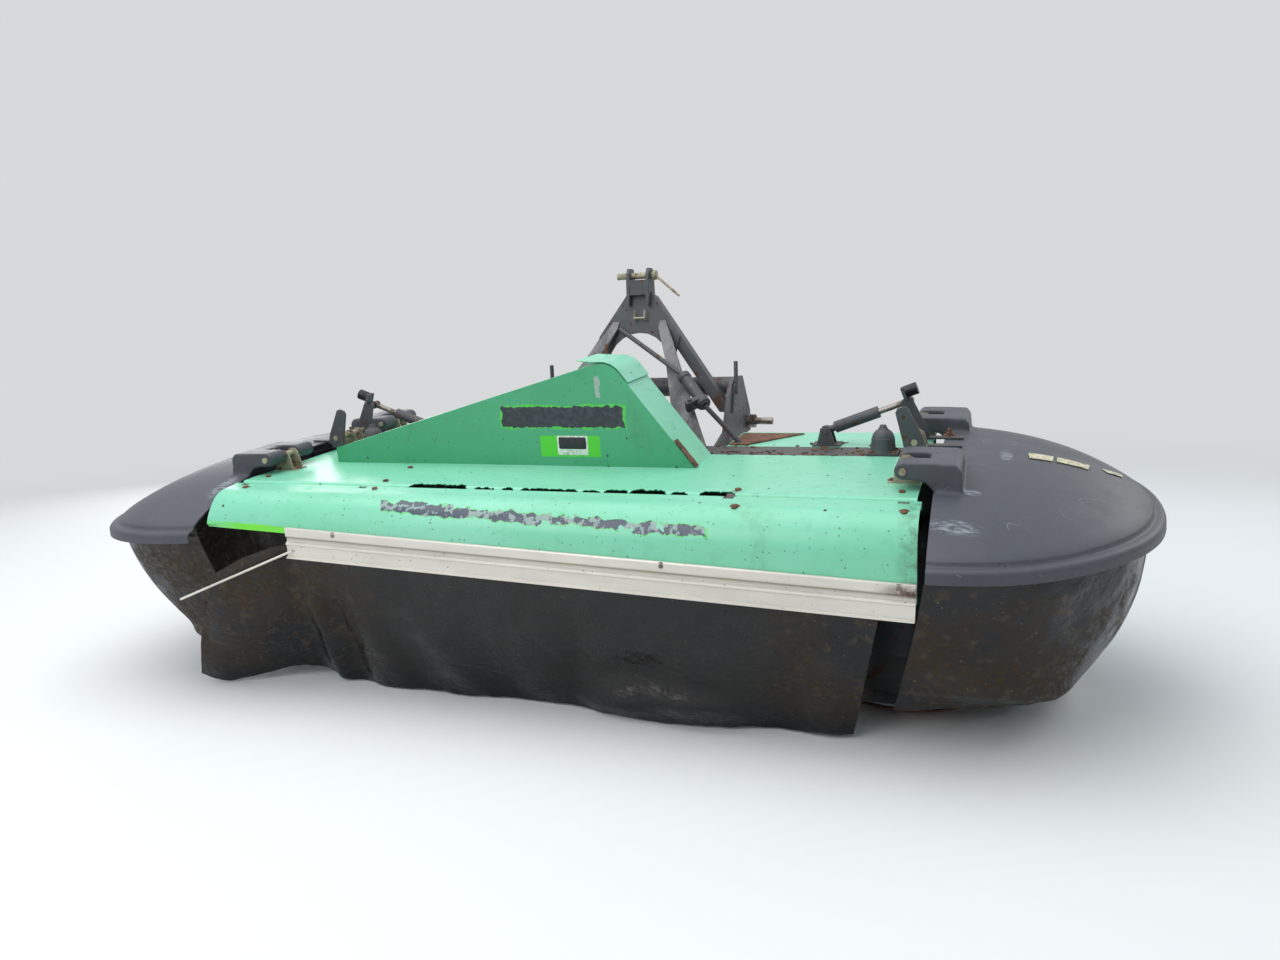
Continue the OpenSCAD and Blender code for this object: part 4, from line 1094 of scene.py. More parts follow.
def make_lug(side, middle, name):
    """A hinge lug moulded on a cover: two rounded noses on one block that blends into the dome."""
    nose, width, gap, out = 0.024, 0.080, 0.072, 0.150
    half = gap / 2 + width
    # Outlines along X and height: their shared tail, a nose round the pin, and the web between noses.
    tail = [
        (HINGE_X + out + 0.010, 0.080), (HINGE_X + out + 0.004, HINGE_H + 0.002),
        (HINGE_X + out - 0.010, HINGE_H + nose - 0.003),
    ]
    section = arc((HINGE_X, HINGE_H), nose, 90, 270, 14) + [
        (HINGE_X + 0.030, HINGE_H - nose - 0.001), (HINGE_X + 0.060, HINGE_H - nose - 0.008),
        (HINGE_X + 0.090, 0.092),
    ] + tail
    web = [
        (HINGE_X + 0.066, HINGE_H + nose - 0.003), (HINGE_X + 0.066, 0.100), (HINGE_X + 0.095, 0.085),
    ] + tail

    def slab(outline, low, high):
        turned = Matrix(((1, 0, 0, 0), (0, 0, -1, 0), (0, 1, 0, 0), (0, 0, 0, 1)))
        return outline_piece("part", outline, high - low, Matrix.Translation((0, high, 0)) @ turned)

    parts = [
        slab(section, middle - half, middle - gap / 2),
        slab(section, middle + gap / 2, middle + half),
        slab(web, middle - gap / 2 - 0.002, middle + gap / 2 + 0.002),
    ]
    reach, wide = HINGE_X + out + 0.045 - COVER_IN, half + 0.030

    def apron(u, v):
        x = 0.006 + u * reach
        y = middle + (v - 0.5) * 2 * wide
        edge = min(wide - abs(y - middle), reach - x)
        sink = 0.0025 * (1 - smooth_step(edge, 0.0, 0.028))
        return Vector((COVER_IN + x, y, dome_height(side, x, y) + 0.0012 - sink))

    skirt = grid_piece("apron", 24, 40, apron)
    thicken(skirt, 0.012)
    piece = join(name, parts + [skirt])
    modify(piece, "REMESH", mode="VOXEL", voxel_size=0.0045)
    modify(piece, "SMOOTH", factor=0.5, iterations=7)
    for vertex in piece.data.vertices:
        x, y, h = vertex.co
        vertex.co = hood(side * x, y, h)
    if side < 0:
        flip(piece)
    modify(piece, "DECIMATE", ratio=0.35)
    complete(piece, side_name(side) + "_side_cover", "slate_plastic", 60.0)
    return piece


# The skirt's foot, and how fast it draws in from the rim.
SKIRT_FOOT_IN = 1.152
SKIRT_FOOT_WIDE = 0.433
SKIRT_FOOT_HALF = 0.530
SKIRT_FOOT_MID = 0.115 + DRUM_LINE
SKIRT_HEM = 0.030
SKIRT_CURL = 0.085
SKIRT_REACH = 0.075
# How late a skirt draws in on its way down, at its front edge and round the rest.
SKIRT_DRAW = {1: (1.35, 2.0), -1: (1.3, 1.7)}


def make_skirt(side):
    """A side curtain: it hangs from the cover's step, draws in towards its foot, and is creased in front."""
    name = side_name(side)
    depth = sizes().wrinkle
    rubber = sizes().rubber

    def place(u, v):
        angle = math.radians(-90 + 180 * u)
        cos, sin = math.cos(angle), math.sin(angle)
        x, y, h = cover_point(side, (1.0, -0.0045, -0.0085), angle)
        top = hood(COVER_IN + x, y, h)
        forwards = max(0.0, -sin)
        foot = Vector((
            SKIRT_FOOT_IN + SKIRT_FOOT_WIDE * cos - SKIRT_REACH * forwards ** 12,
            SKIRT_FOOT_MID + SKIRT_FOOT_HALF * sin,
            SKIRT_HEM + SKIRT_CURL * forwards ** 2,
        ))
        if side > 0:
            foot.z += 0.045 * bump(math.degrees(angle), -28, 26)
        else:
            foot.z -= 0.045 * smooth_step(forwards, 0.3, 0.9)
        edge, rest = SKIRT_DRAW[side]
        drawn = v ** (rest + (edge - rest) * smooth_step(forwards, 0.80, 1.0))
        point = Vector((
            top.x + (foot.x - top.x) * drawn,
            top.y + (foot.y - top.y) * drawn,
            top.z + (foot.z - top.z) * v,
        ))
        along = angle * 0.62
        seed = 11.0 if side > 0 else 47.0
        soft = noise.noise(Vector((along * 2.3, v * 1.1, seed)))
        fold = noise.noise(Vector((along * 7.0 + v * 1.5, v * 1.6, seed + 5)))
        crumple = noise.noise(Vector((along * 15.0, v * 6.0, seed + 9)))
        way = depth * (1.5 * soft * v + 1.3 * fold * v * v + 0.35 * crumple * v)
        # Near the front the worn hem is creased: out at the crease and in again below it.
        front = smooth_step(-math.degrees(angle), 18, 55) * smooth_step(math.degrees(angle), -89, -74)
        crease = 0.80 + 0.10 * smooth_step(-math.degrees(angle), 80, 30)
        way += front * 0.030 * bump(v, crease, 0.07)
        way -= front * 0.045 * smooth_step(v, crease + 0.03, 1.0)
        return Vector((side * (point.x + way * cos), point.y + way * sin, point.z))

    skirt = grid_piece(name + "_skirt", sizes().detail, 60, place)
    if side > 0:
        flip(skirt)
    thicken(skirt, rubber)
    complete(skirt, name + "_side_cover", "dirty_rubber", 60.0)
    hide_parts(name + "_curtain")
    return skirt


# Front curtain. Columns of each station: X at the rail, X, Y from the drum line and height of the
# foot, drop of the top under the rail's line, and the way out in front of the rail, both for the
# loose left end.
CURTAIN = [
    (-1.112, -1.298, -0.532, 0.036, 0.117, 0.082),
    (-1.045, -1.204, -0.514, 0.008, 0.084, 0.077),
    (-0.978, -1.092, -0.464, 0.024, 0.048, 0.064),
    (-0.880, -0.982, -0.410, 0.052, 0.012, 0.030),
    (-0.834, -0.934, -0.378, 0.042, 0.004, 0.0),
    (-0.800, -0.890, -0.354, 0.030, 0.0, 0.0),
    (-0.640, -0.745, -0.384, 0.008, 0.0, 0.0),
    (-0.420, -0.559, -0.405, 0.008, 0.0, 0.0),
    (-0.020, -0.045, -0.384, 0.008, 0.0, 0.0),
    (0.270, 0.256, -0.427, 0.008, 0.0, 0.0),
    (0.560, 0.516, -0.433, 0.008, 0.0, 0.0),
    (1.051, 0.963, -0.366, 0.008, 0.0, 0.0),
]
# Dents of the front curtain: X, share of the way down, width along X, width down, slant of X
# on the way down, and way out.
DENTS = [
    (-0.800, 0.70, 0.035, 0.60, -0.02, 0.030), (-0.720, 0.75, 0.045, 0.50, 0.04, -0.030),
    (-0.600, 0.55, 0.060, 0.35, 0.16, 0.024), (-0.480, 0.85, 0.090, 0.22, 0.10, -0.022),
    (-0.340, 0.62, 0.080, 0.25, 0.20, 0.026), (-0.150, 0.85, 0.090, 0.20, 0.10, -0.020),
    (-0.040, 0.55, 0.100, 0.22, 0.00, 0.018), (0.130, 0.70, 0.060, 0.25, -0.10, -0.020),
    (0.260, 0.88, 0.120, 0.09, 0.00, 0.030), (0.330, 0.68, 0.170, 0.10, 0.00, -0.022),
    (0.520, 0.84, 0.160, 0.08, 0.00, 0.034), (0.600, 0.60, 0.110, 0.16, 0.10, 0.014),
    (0.720, 0.92, 0.080, 0.14, 0.00, -0.024), (0.820, 0.55, 0.060, 0.30, -0.12, -0.016),
    (0.900, 0.75, 0.050, 0.30, -0.06, 0.016),
]


def rail_top(x):
    return RAIL_TOP - x * RAIL_TILT


def make_front_curtain():
    """The front curtain from the flap's foot to its hem, with folds, dents and a loose left end."""
    depth = sizes().wrinkle
    # Stations lie evenly along u; their places follow a smooth curve through the table.
    span = [0.0]
    for a, b in zip(CURTAIN, CURTAIN[1:]):
        span.append(span[-1] + abs(b[1] - a[1]))
    span = [s / span[-1] for s in span]

    def station(u):
        i = max(k for k in range(len(span) - 1) if span[k] <= u or k == 0)
        f = (u - span[i]) / (span[i + 1] - span[i])
        t = (i + min(1.0, f)) / (len(CURTAIN) - 1)
        first = through([c[:3] for c in CURTAIN], t)
        second = through([c[3:] for c in CURTAIN], t)
        return first, second

    def place(u, v):
        first, second = station(u)
        top_x, foot_x, foot_y = first
        foot_z, drop, out = second
        y = RAIL_FACE + SEAT - max(0.0, out)
        top = hood(top_x, y, rail_top(top_x) - BEHIND_RAIL - SEAT - max(0.0, drop))
        knee = hood(top_x, y, rail_top(top_x) - RAIL_HEIGHT - max(0.0, drop))
        foot = Vector((foot_x, foot_y + DRUM_LINE, max(0.006, foot_z)))
        middle = (knee + foot) / 2 + Vector((0, -0.012, 0))
        point = through([top, knee, knee.lerp(middle, 0.6), middle, middle.lerp(foot, 0.55), foot], v)
        x = point.x
        loose = smooth_step(v, 0.22, 0.5)
        way = depth * loose * (
            0.8 * noise.noise(Vector((x * 2.2, v * 1.3, 21.0)))
            + 0.5 * noise.noise(Vector((x * 5.0 + v, v * 3.0, 4.0)))
            + 0.16 * noise.noise(Vector((x * 16.0, v * 8.0, 9.0)))
        )
        for cx, cv, wide, tall, slant, push in DENTS:
            way += push * bump(x, cx + slant * (v - cv), wide) * bump(v, cv, tall) * loose
        # The hem's right corner is turned up a little.
        corner = bump(x, 0.93, 0.09) * smooth_step(v, 0.8, 1.0)
        point.y -= way + 0.020 * corner
        point.z += 0.006 * corner
        ripple = 0.010 * noise.noise(Vector((x * 4.0, 2.0, 31.0)))
        ripple += 0.004 * noise.noise(Vector((x * 19.0, 2.0, 8.0)))
        point.z = max(0.005, point.z + ripple * smooth_step(v, 0.7, 1.0))
        return point

    curtain = grid_piece("rubber_front_curtain", sizes().detail, 56, place)
    flip(curtain)
    thicken(curtain, sizes().rubber)
    complete(curtain, "flap", "dirty_rubber", 60.0)
    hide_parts("front_curtain")
    return curtain


def make_flap():
    """The lifting flap: a rolled bead on the hinge axis, a top and a curved front."""
    ay, ah = FLAP_AXIS
    bead = 0.009
    bend = (RAIL_FACE + FLAP_BEND, ah + bead - 0.005 - FLAP_BEND)
    profile = [(ay + bead * math.cos(math.radians(a)), ah + bead * math.sin(math.radians(a)))
               for a in range(-150, 91, 20)]
    profile += [(ay - 0.008, ah + bead - 0.0012), (ay - 0.022, ah + bead - 0.0035)]
    profile += arc(bend, FLAP_BEND, 91, 172, 20)
    low = len(profile)
    # Each point of the profile takes one step of v, and the flat face below the bend takes these.
    face = 10

    def place(u, v):
        x = FLAP_HALF * (2 * u - 1)
        foot = rail_top(x) - (BEHIND_RAIL if x > RAIL_LEFT else BARE_EDGE)
        stretch = v * (low + face - 1)
        i = int(stretch)
        if i < low - 1:
            f = stretch - i
            y = profile[i][0] * (1 - f) + profile[i + 1][0] * f
            h = profile[i][1] * (1 - f) + profile[i + 1][1] * f
        else:
            f = (stretch - (low - 1)) / face
            y = profile[-1][0] * (1 - f) + RAIL_FACE * f
            h = profile[-1][1] * (1 - f) + foot * f
        wave = smooth_step(v, 0.42, 0.6) * smooth_step(1 - v, 0.1, 0.25)
        dent = 0.0035 * noise.noise(Vector((x * 3.0, v * 4.0, 7.0)))
        dent += 0.0012 * noise.noise(Vector((x * 11, v * 9, 2.0)))
        dent -= 0.007 * bump(x, -0.86, 0.035) * bump(v, 0.72, 0.10)
        dent -= 0.010 * smooth_step(-x, 1.09, FLAP_HALF) * bump(v, 0.75, 0.2)
        slope = smooth_step(v, 0.5, 0.95)
        return hood(x, y + wave * dent * slope, h + wave * dent * (1 - slope))

    flap = grid_piece("green_flap", 300, 60, place)
    # Gaps in the rolled edge for the hinge knuckles.
    cut_faces(flap, lambda p: min(abs(p.x - x) for x in HINGE_PLACES) < 0.017 and in_hood(p).y > ay - 0.012)
    thicken(flap, sizes().sheet)
    complete(flap, "flap", "flap_sheet", 40.0)
    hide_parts("front_flap")
    return flap


# Rust holes along the panel's front edge: left and right end, and the deepest cut.
RUST_HOLES = [
    (-0.462, -0.240, 0.034), (-0.225, -0.135, 0.010), (-0.125, -0.072, 0.016), (-0.060, 0.148, 0.014),
    (0.150, 0.222, 0.012), (0.222, 0.312, 0.022), (0.306, 0.428, 0.034), (0.430, 0.500, 0.014),
    (0.522, 0.640, 0.034),
]


def rust_cut(x):
    """How far a rust hole reaches back from the panel's front edge at x."""
    ragged = 0.5 + 0.8 * noise.noise(Vector((x * 60, 0.0, 5.0)))
    ragged += 0.5 * noise.noise(Vector((x * 150, 3.0, 5.0)))
    cut = 0.0
    for left, right, deep in RUST_HOLES:
        if left < x < right:
            ends = smooth_step(x, left, left + 0.02) * smooth_step(-x, -right, -right + 0.02)
            cut = deep * ends * max(0.15, min(1.2, 0.55 + 0.6 * ragged))
    return cut


def make_front_panel():
    """The fixed front panel: its rounded front lip is rusted through in places."""
    lip = 0.014
    radius_at = PANEL_FRONT + lip

    def place(u, v):
        x = PANEL_HALF * (2 * u - 1)
        # v runs up the rear lip, over the top, round the front edge and down the front lip.
        if v < 0.06:
            y, h = PANEL_REAR, PANEL_TOP - 0.028 * (1 - v / 0.06)
        elif v < 0.70:
            f = (v - 0.06) / 0.64
            y, h = PANEL_REAR + (radius_at + 0.05 - PANEL_REAR) * f, PANEL_TOP
        elif v < 0.82:
            y, h = radius_at + 0.05 * (1 - (v - 0.70) / 0.12), PANEL_TOP
        elif v < 0.92:
            a = math.radians(90 + 90 * (v - 0.82) / 0.10)
            y, h = radius_at + lip * math.cos(a), PANEL_TOP - lip + lip * math.sin(a)
        else:
            y, h = PANEL_FRONT, PANEL_TOP - lip - 0.028 * (v - 0.92) / 0.08
        flat = smooth_step(v, 0.08, 0.2) * smooth_step(1 - v, 0.2, 0.35)
        h += flat * 0.0016 * noise.noise(Vector((x * 2.5, y * 4, 1.0)))
        # The edge sags a little beside the rust.
        h -= 0.0015 * smooth_step(v, 0.75, 0.82) * min(1.0, rust_cut(x) / 0.02)
        return hood(x, y, h)

    panel = grid_piece("green_front_panel", 560, 100, place)

    def gone(p):
        q = in_hood(p)
        if min(abs(p.x - x) for x in HINGE_PLACES) < 0.018 and q.y < PANEL_FRONT + 0.011 and q.z < 0.091:
            return True
        cut = rust_cut(p.x)
        fringe = 0.4 + 0.6 * noise.noise(Vector((p.x * 90, q.y * 90, 2.0)))
        return cut > 0.003 and q.y - PANEL_FRONT < cut * (0.7 + 0.5 * fringe) and q.z > PANEL_TOP - 0.016

    cut_faces(panel, gone)
    thicken(panel, 0.0022)
    complete(panel, "deck", "green_sheet", 40.0)
    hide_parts("front_panel")
    return panel


def make_fairing_cap():
    """The separate cap over the fairing's peak, from left of the peak down its right side."""
    peak = Vector(FAIRING_PEAK)
    away = Vector(FAIRING_LEFT) - peak
    down = Vector(FAIRING_RIGHT) - peak
    away.normalize()
    down.normalize()
    half = away.angle(down) / 2
    radius = FAIRING_ROUND
    centre = peak + (away + down).normalized() * radius / math.sin(half)
    tangent = radius / math.tan(half)
    start = peak + away * tangent
    stop = peak + down * tangent
    a = math.atan2(*(start - centre).yx)
    b = math.atan2(*(stop - centre).yx)
    turns = [a + (b - a) * i / 12 for i in range(13)]
    left_length, right_length, lift = 0.055, 0.045, 0.0035
    line = [start + away * left_length]
    line += [centre + radius * Vector((math.cos(t), math.sin(t))) for t in turns]
    line += [stop + down * right_length]
    points = [(q.x, q.y, 0) for q in line]

    def place(u, v):
        p = through(points, u)
        n = through(points, min(1.0, u + 0.01)) - through(points, max(0.0, u - 0.01))
        n = Vector((-n.y, n.x)).normalized()
        y = -0.1055 + 0.203 * v
        return hood(p.x + n.x * lift, y, PANEL_TOP + p.y + n.y * lift)

    cap = grid_piece("fairing_cap", 60, 8, place)
    flip(cap)
    thicken(cap, 0.003)
    complete(cap, "deck", "green_sheet", 35.0)


def rounded_box(wide, tall, radius):
    """Outline of a rectangle with rounded corners, about its middle."""
    x, y = wide / 2 - radius, tall / 2 - radius
    return (arc((x, -y), radius, -90, 0, 4) + arc((x, y), radius, 0, 90, 4) + arc((-x, y), radius, 90, 180, 4)
            + arc((-x, -y), radius, 180, 270, 4))


def on_hood(x, y, h):
    """A matrix whose X runs along the hood, Y up from it and Z forwards, at a point of the hood."""
    turn = Matrix((Vector((1, 0, 0)), hood_way(0, 0, 1), hood_way(0, -1, 0))).transposed()
    return Matrix.Translation(hood(x, y, h)) @ turn.to_4x4()


def make_fairing_plate():
    """The blank plate on the fairing's face: a dark field in a pale frame."""
    plate = outline_piece("fairing_plate", rounded_box(0.112, 0.066, 0.006), 0.0016,
                          on_hood(-0.005, -0.1031, 0.173), 0.0004)
    complete(plate, "deck", "blank_white")
    field = outline_piece("fairing_plate_field", rounded_box(0.100, 0.040, 0.005), 0.0012,
                          on_hood(-0.005, -0.1046, 0.181), 0.0004)
    complete(field, "deck", "blank_dark")


def make_stickers():
    """Blank weathered labels that lie on the right cover."""
    corners = {
        "cover_label_1": ((0.250, 0.094), (0.322, 0.104), (0.318, 0.042), (0.252, 0.030)),
        "cover_label_2": ((0.332, 0.105), (0.424, 0.122), (0.416, 0.062), (0.328, 0.046)),
        "cover_label_3": ((0.463, 0.150), (0.524, 0.205), (0.520, 0.165), (0.474, 0.122)),
    }
    for name, (a, b, c, d) in corners.items():
        def place(u, v):
            top = Vector(a).lerp(Vector(b), u)
            low = Vector(d).lerp(Vector(c), u)
            x, y = low.lerp(top, v)
            return hood(COVER_IN + x, y, dome_height(1, x, y) + 0.0024)

        label = grid_piece(name, 16, 10, place)
        thicken(label, 0.0012, 1.0)
        complete(label, "right_side_cover", "blank_cream", 40.0)


def make_foot_strip():
    """The rusty strip at the right foot of the fairing."""
    def place(u, v):
        x = 0.352 + 0.068 * u
        h = PANEL_TOP + 0.0015 + (FAIRING_RIGHT[0] - x) * 1.288 + 0.002
        y = -0.108 + 0.030 * v
        x += 0.003 * noise.noise(Vector((u * 6, v * 4, 2)))
        return hood(x + 0.004, y, h)

    strip = grid_piece("fairing_foot_strip", 20, 6, place)
    thicken(strip, 0.003, 1.0)
    complete(strip, "deck", "rusted_steel", 40.0)


def facing(point, normal, along):
    """A matrix that puts Z along normal and X as near as it can to along, at point."""
    z = Vector(normal).normalized()
    y = z.cross(Vector(along)).normalized()
    turn = Matrix((y.cross(z), y, z)).transposed()
    return Matrix.Translation(Vector(point)) @ turn.to_4x4()


def placed_prism(sides, radius, half, matrix, bevel):
    piece = prism(sides, radius, -half, half, bevel)
    piece.matrix_world = matrix
    settle(piece)
    return piece


def make_latch_bracket():
    """The wire bracket on the gusset: two bent legs and a bar across them."""
    up, out, middle = Vector(MAST_UP), Vector(MAST_OUT), Vector(MAST_BRACKET)
    spread, stand = 0.021, 0.022
    parts = []
    for x in (-spread, spread):
        foot = middle + Vector((x, 0, 0))
        bend = foot + out * stand
        leg = [foot - out * 0.002, foot + out * 0.018, bend + up * 0.004, bend + up * 0.036]
        parts.append(tube("leg", leg, 0.0035))
    ends = [middle + Vector((x, 0, 0)) + out * stand + up * 0.006 for x in (-0.022, 0.0, 0.022)]
    parts.append(tube("bar", ends, 0.0042))
    complete(join("latch_bracket", parts), "deck", "dull_zinc")


def make_relief_clamp():
    """The relief cylinder's clamp, with its jaw and screw, and its gland."""
    mid, low = Vector(RELIEF_MID), Vector(RELIEF_LOW)
    axis = (low - mid).normalized()
    left = Vector((-0.94, -0.35, -0.15))
    sleeve = placed_prism(24, 0.0268, 0.014, facing(low - axis * 0.020, axis, left), 0.002)
    jaw_place = facing(low - axis * 0.029 + left * 0.030, axis, left)
    jaw = outline_piece("jaw", rounded_box(0.066, 0.050, 0.005), 0.018, jaw_place, 0.002)
    screw_place = facing(low - axis * 0.020 + left * 0.045, left.cross(axis), axis)
    screw = placed_prism(6, 0.0085, 0.032, screw_place, 0.001)
    complete(join("relief_clamp", [sleeve, jaw, screw]), "deck", "worn_steel_paint")
    gland = placed_prism(24, 0.0245, 0.011, facing(mid + axis * 0.010, axis, left), 0.002)
    gland.name = "relief_gland"
    complete(gland, "deck", "worn_steel_paint")


def make_breather():
    """The breather pipe behind the fairing, which stands on the gearbox."""
    above = Vector((0.040, 0.115 + DRUM_LINE, 1.3))
    hit, where, _, _ = NODES["centre_gearbox"].ray_cast(above, Vector((0, 0, -1)))
    if not hit:
        raise RuntimeError("The breather has nothing to stand on")
    bend, tip = (0.040, 0.110 + DRUM_LINE, 1.0), (0.039, 0.105 + DRUM_LINE, 1.142)
    stub = tube("breather", [where - Vector((0, 0, 0.004)), bend, tip], 0.0065)
    complete(stub, "deck", "rusted_steel")


def make_litter():
    """Dead leaves and crumbs of rust that lie on the beam's cover and the deck plate."""
    rng = random.Random(12)
    flakes = []
    for number in range(150):
        x = rng.choice((-1, 1)) * rng.uniform(0.40, 1.02)
        y = rng.uniform(0.105, 0.330) if number % 3 else rng.uniform(0.10, 0.16)
        start = hood(x, y, 0.5)
        best = None
        for name in ("beam_cover", "deck_plate", "rear_panels"):
            hit, where, normal, _ = NODES[name].ray_cast(start, hood_way(0, 0, -1))
            if hit and (best is None or where.z > best[0].z):
                best = (where.copy(), normal.copy())
        if best is None or best[1].z < 0.9:
            continue
        size = rng.uniform(0.004, 0.013)
        outline = [(size * rng.uniform(0.6, 1.2) * math.cos(a), size * rng.uniform(0.4, 0.9) * math.sin(a))
                   for a in (i * math.tau / 7 for i in range(7))]
        place = standing(best[0] - best[1] * 0.0006, best[1], rng.uniform(0, 6.2))
        flakes.append(outline_piece("flake", outline, rng.uniform(0.002, 0.004), place))
    complete(join("litter", flakes), "deck", "dead_leaves", 30.0)


# Registration and the order of work


class MOWER_OT_finishes(bpy.types.Operator):
    """Makes the shared effects and every finish, and paints the CAD nodes"""

    bl_idname = "mower.finishes"
    bl_label = "Finishes"

    def execute(self, context):
        make_blotches()
        make_specks()
        make_scratches()
        make_window()
        for finish in (finish_green, finish_fairing, finish_flap, finish_plastic, finish_rubber, finish_steel,
                       finish_strut, finish_rust, finish_bare_steel, finish_zinc, finish_alloy, finish_leaves,
                       finish_plate):
            finish()
        for name in NODES:
            paint("worn_steel_paint", name)
        paint("green_sheet", "front_panel", "rear_panels")
        paint("fairing_sheet", "fairing")
        paint("flap_sheet", "front_flap")
        paint("rubbed_strut", "inner_struts")
        paint("rusted_steel", "deck_plate", "skid_dish_1", "skid_dish_2", "skid_dish_3", "skid_dish_4")
        paint("worn_bare_steel", "lower_link_pins", "input_shaft", "right_piston_rod", "left_piston_rod",
              "blades_1", "blades_2", "blades_3", "blades_4")
        paint("dull_zinc", "cover_hinge_brackets", "top_link_pin")
        paint("extruded_alloy", "front_rail", "curtain_rod")
        paint("dirty_rubber", "right_bumper", "left_bumper")
        return {"FINISHED"}


class MOWER_OT_covers(bpy.types.Operator):
    """Models the moulded side covers and their hinge lugs"""

    bl_idname = "mower.covers"
    bl_label = "Side covers"

    def execute(self, context):
        for side in (1, -1):
            make_cover(side)
        return {"FINISHED"}


class MOWER_OT_curtains(bpy.types.Operator):
    """Models the rubber curtains"""

    bl_idname = "mower.curtains"
    bl_label = "Rubber curtains"

    def execute(self, context):
        for side in (1, -1):
            make_skirt(side)
        make_front_curtain()
        return {"FINISHED"}


class MOWER_OT_sheet_metal(bpy.types.Operator):
    """Models the sheet metal whose dents and rust holes the plain nodes lack"""

    bl_idname = "mower.sheet_metal"
    bl_label = "Sheet metal"

    def execute(self, context):
        make_flap()
        make_front_panel()
        make_fairing_cap()
        return {"FINISHED"}


class MOWER_OT_small_parts(bpy.types.Operator):
    """Adds the blank plates, the headstock's fittings and the litter"""

    bl_idname = "mower.small_parts"
    bl_label = "Small parts"

    def execute(self, context):
        make_fairing_plate()
        make_stickers()
        make_foot_strip()
        make_latch_bracket()
        make_relief_clamp()
        make_breather()
        make_litter()
        return {"FINISHED"}


# Bolts of the panel: X and Y.
PANEL_BOLTS = ((-0.606, -0.177), (-0.574, -0.371), (0.632, -0.371), (-1.078, -0.350), (1.090, -0.350))
# Bolts of the flap: X, Y, height, and how many degrees the sheet leans forwards there.
FLAP_BOLTS = (
    (-0.566, -0.4465, 0.0925, 8), (0.655, -0.506, 0.0865, 22), (1.109, -0.505, 0.0865, 22),
    (-1.074, -0.470, 0.091, 8),
)
# Bolts of the rail along X.
RAIL_BOLTS = (-0.640, 0.460, 1.104)


class MOWER_OT_bolts(bpy.types.Operator):
    """Adds the bolts of the panels, flap, rail and covers"""

    bl_idname = "mower.bolts"
    bl_label = "Bolts"

    def execute(self, context):
        up, forwards = hood_way(0, 0, 1), hood_way(0, -1, 0)
        bolts("panel_bolts", [(hood(x, y, PANEL_TOP), up) for x, y in PANEL_BOLTS], "deck")
        places = []
        for x, y, h, lean in FLAP_BOLTS:
            a = math.radians(lean)
            places.append((hood(x, y, h), hood_way(0, -math.sin(a), math.cos(a))))
        bolts("flap_bolts", places, "flap")
        places = [(hood(x, RAIL_FACE - 0.0105, rail_top(x) - 0.012), forwards) for x in RAIL_BOLTS]
        bolts("rail_bolts", places, "flap", material="worn_bare_steel", radius=0.0065)
        for name, x in FOOT_BAR_X:
            places = [(hood(x, FOOT_BAR_Y, COVER_RISE + FOOT_BAR_TOP), up)]
            bolts(name + "_foot_bolt", places, name + "_side_cover", radius=0.011, length=0.014)
        places = [
            (hood(side * BELL[0] + dx, BELL[1] + dy, PANEL_TOP + BELL[2]), up)
            for side in (1, -1) for dx, dy in BELL_BOLTS
        ]
        bolts("bell_bolts", places, "deck", radius=0.007)
        places = [
            (hood(side * BRACKET_X, y, PANEL_TOP + BRACKET_FOOT), up)
            for side in (1, -1) for y in BRACKET_PLACES
        ]
        bolts("bracket_bolts", places, "deck", radius=0.007)
        return {"FINISHED"}


# Colour of the backdrop, and how far out the floor starts and ends turning into it.
BACKDROP = srgb(0.845, 0.85, 0.855)
FLOOR_FADE = (3.4, 9.0)


def straight_look(tree):
    """1 for the rays by which the camera, metal and glass see a surface, and 0 for light."""
    path = tree.nodes.new("ShaderNodeLightPath").outputs
    seen = calc(tree, "MAXIMUM", path["Is Camera Ray"], path["Is Glossy Ray"])
    return calc(tree, "MAXIMUM", seen, path["Is Transmission Ray"])


def light_floor(tree, shader):
    """Lets the far floor turn into the backdrop, so that no horizon shows."""
    reach = remap(tree, length_of(tree, placed(tree)), *FLOOR_FADE)
    far = times(tree, reach, straight_look(tree))
    plain = put(tree, "ShaderNodeEmission", {"Color": rgba(BACKDROP), "Strength": 1.0})
    mixed = put(tree, "ShaderNodeMixShader", {0: far, 1: shader.outputs[0], 2: plain.outputs[0]})
    surface = next(n for n in tree.nodes if n.bl_idname == "ShaderNodeOutputMaterial")
    tree.links.new(mixed.outputs[0], surface.inputs[0])


def light_sky(tree, strength):
    """An overcast sky that is dark towards the ground; the camera and gloss see a plain pale backdrop."""
    tree.nodes.clear()
    source = tree.nodes.new("ShaderNodeTexCoord").outputs["Generated"]
    rise = coordinate(tree, source, 2)
    sky = blend_colour(tree, remap(tree, rise, -0.1, 0.7), srgb(0.55, 0.57, 0.60), srgb(0.93, 0.97, 1.0))
    lit = put(tree, "ShaderNodeBackground", {"Color": sky, "Strength": 0.75 * strength})
    seen = put(tree, "ShaderNodeBackground", {"Color": rgba(BACKDROP), "Strength": 1.0})
    mixed = put(tree, "ShaderNodeMixShader", {0: straight_look(tree), 1: lit.outputs[0], 2: seen.outputs[0]})
    surface = tree.nodes.new("ShaderNodeOutputWorld")
    tree.links.new(mixed.outputs[0], surface.inputs[0])


# Lamps: name, place and aim from the drum line, size and power.
LAMPS = (
    ("overhead", (-0.8, -0.6, 4.8), (0, 0, 0.6), 5.0, 142),
    ("front_left", (-1.8, -5.4, 3.6), (0.1, -0.4, 0.4), 3.2, 92),
    ("rear_left", (-4.6, 3.9, 1.9), (-1.4, 0.1, 0.7), 2.4, 55),
    ("rear_right", (4.2, 3.6, 3.2), (0.6, 0, 0.6), 2.2, 26),
)
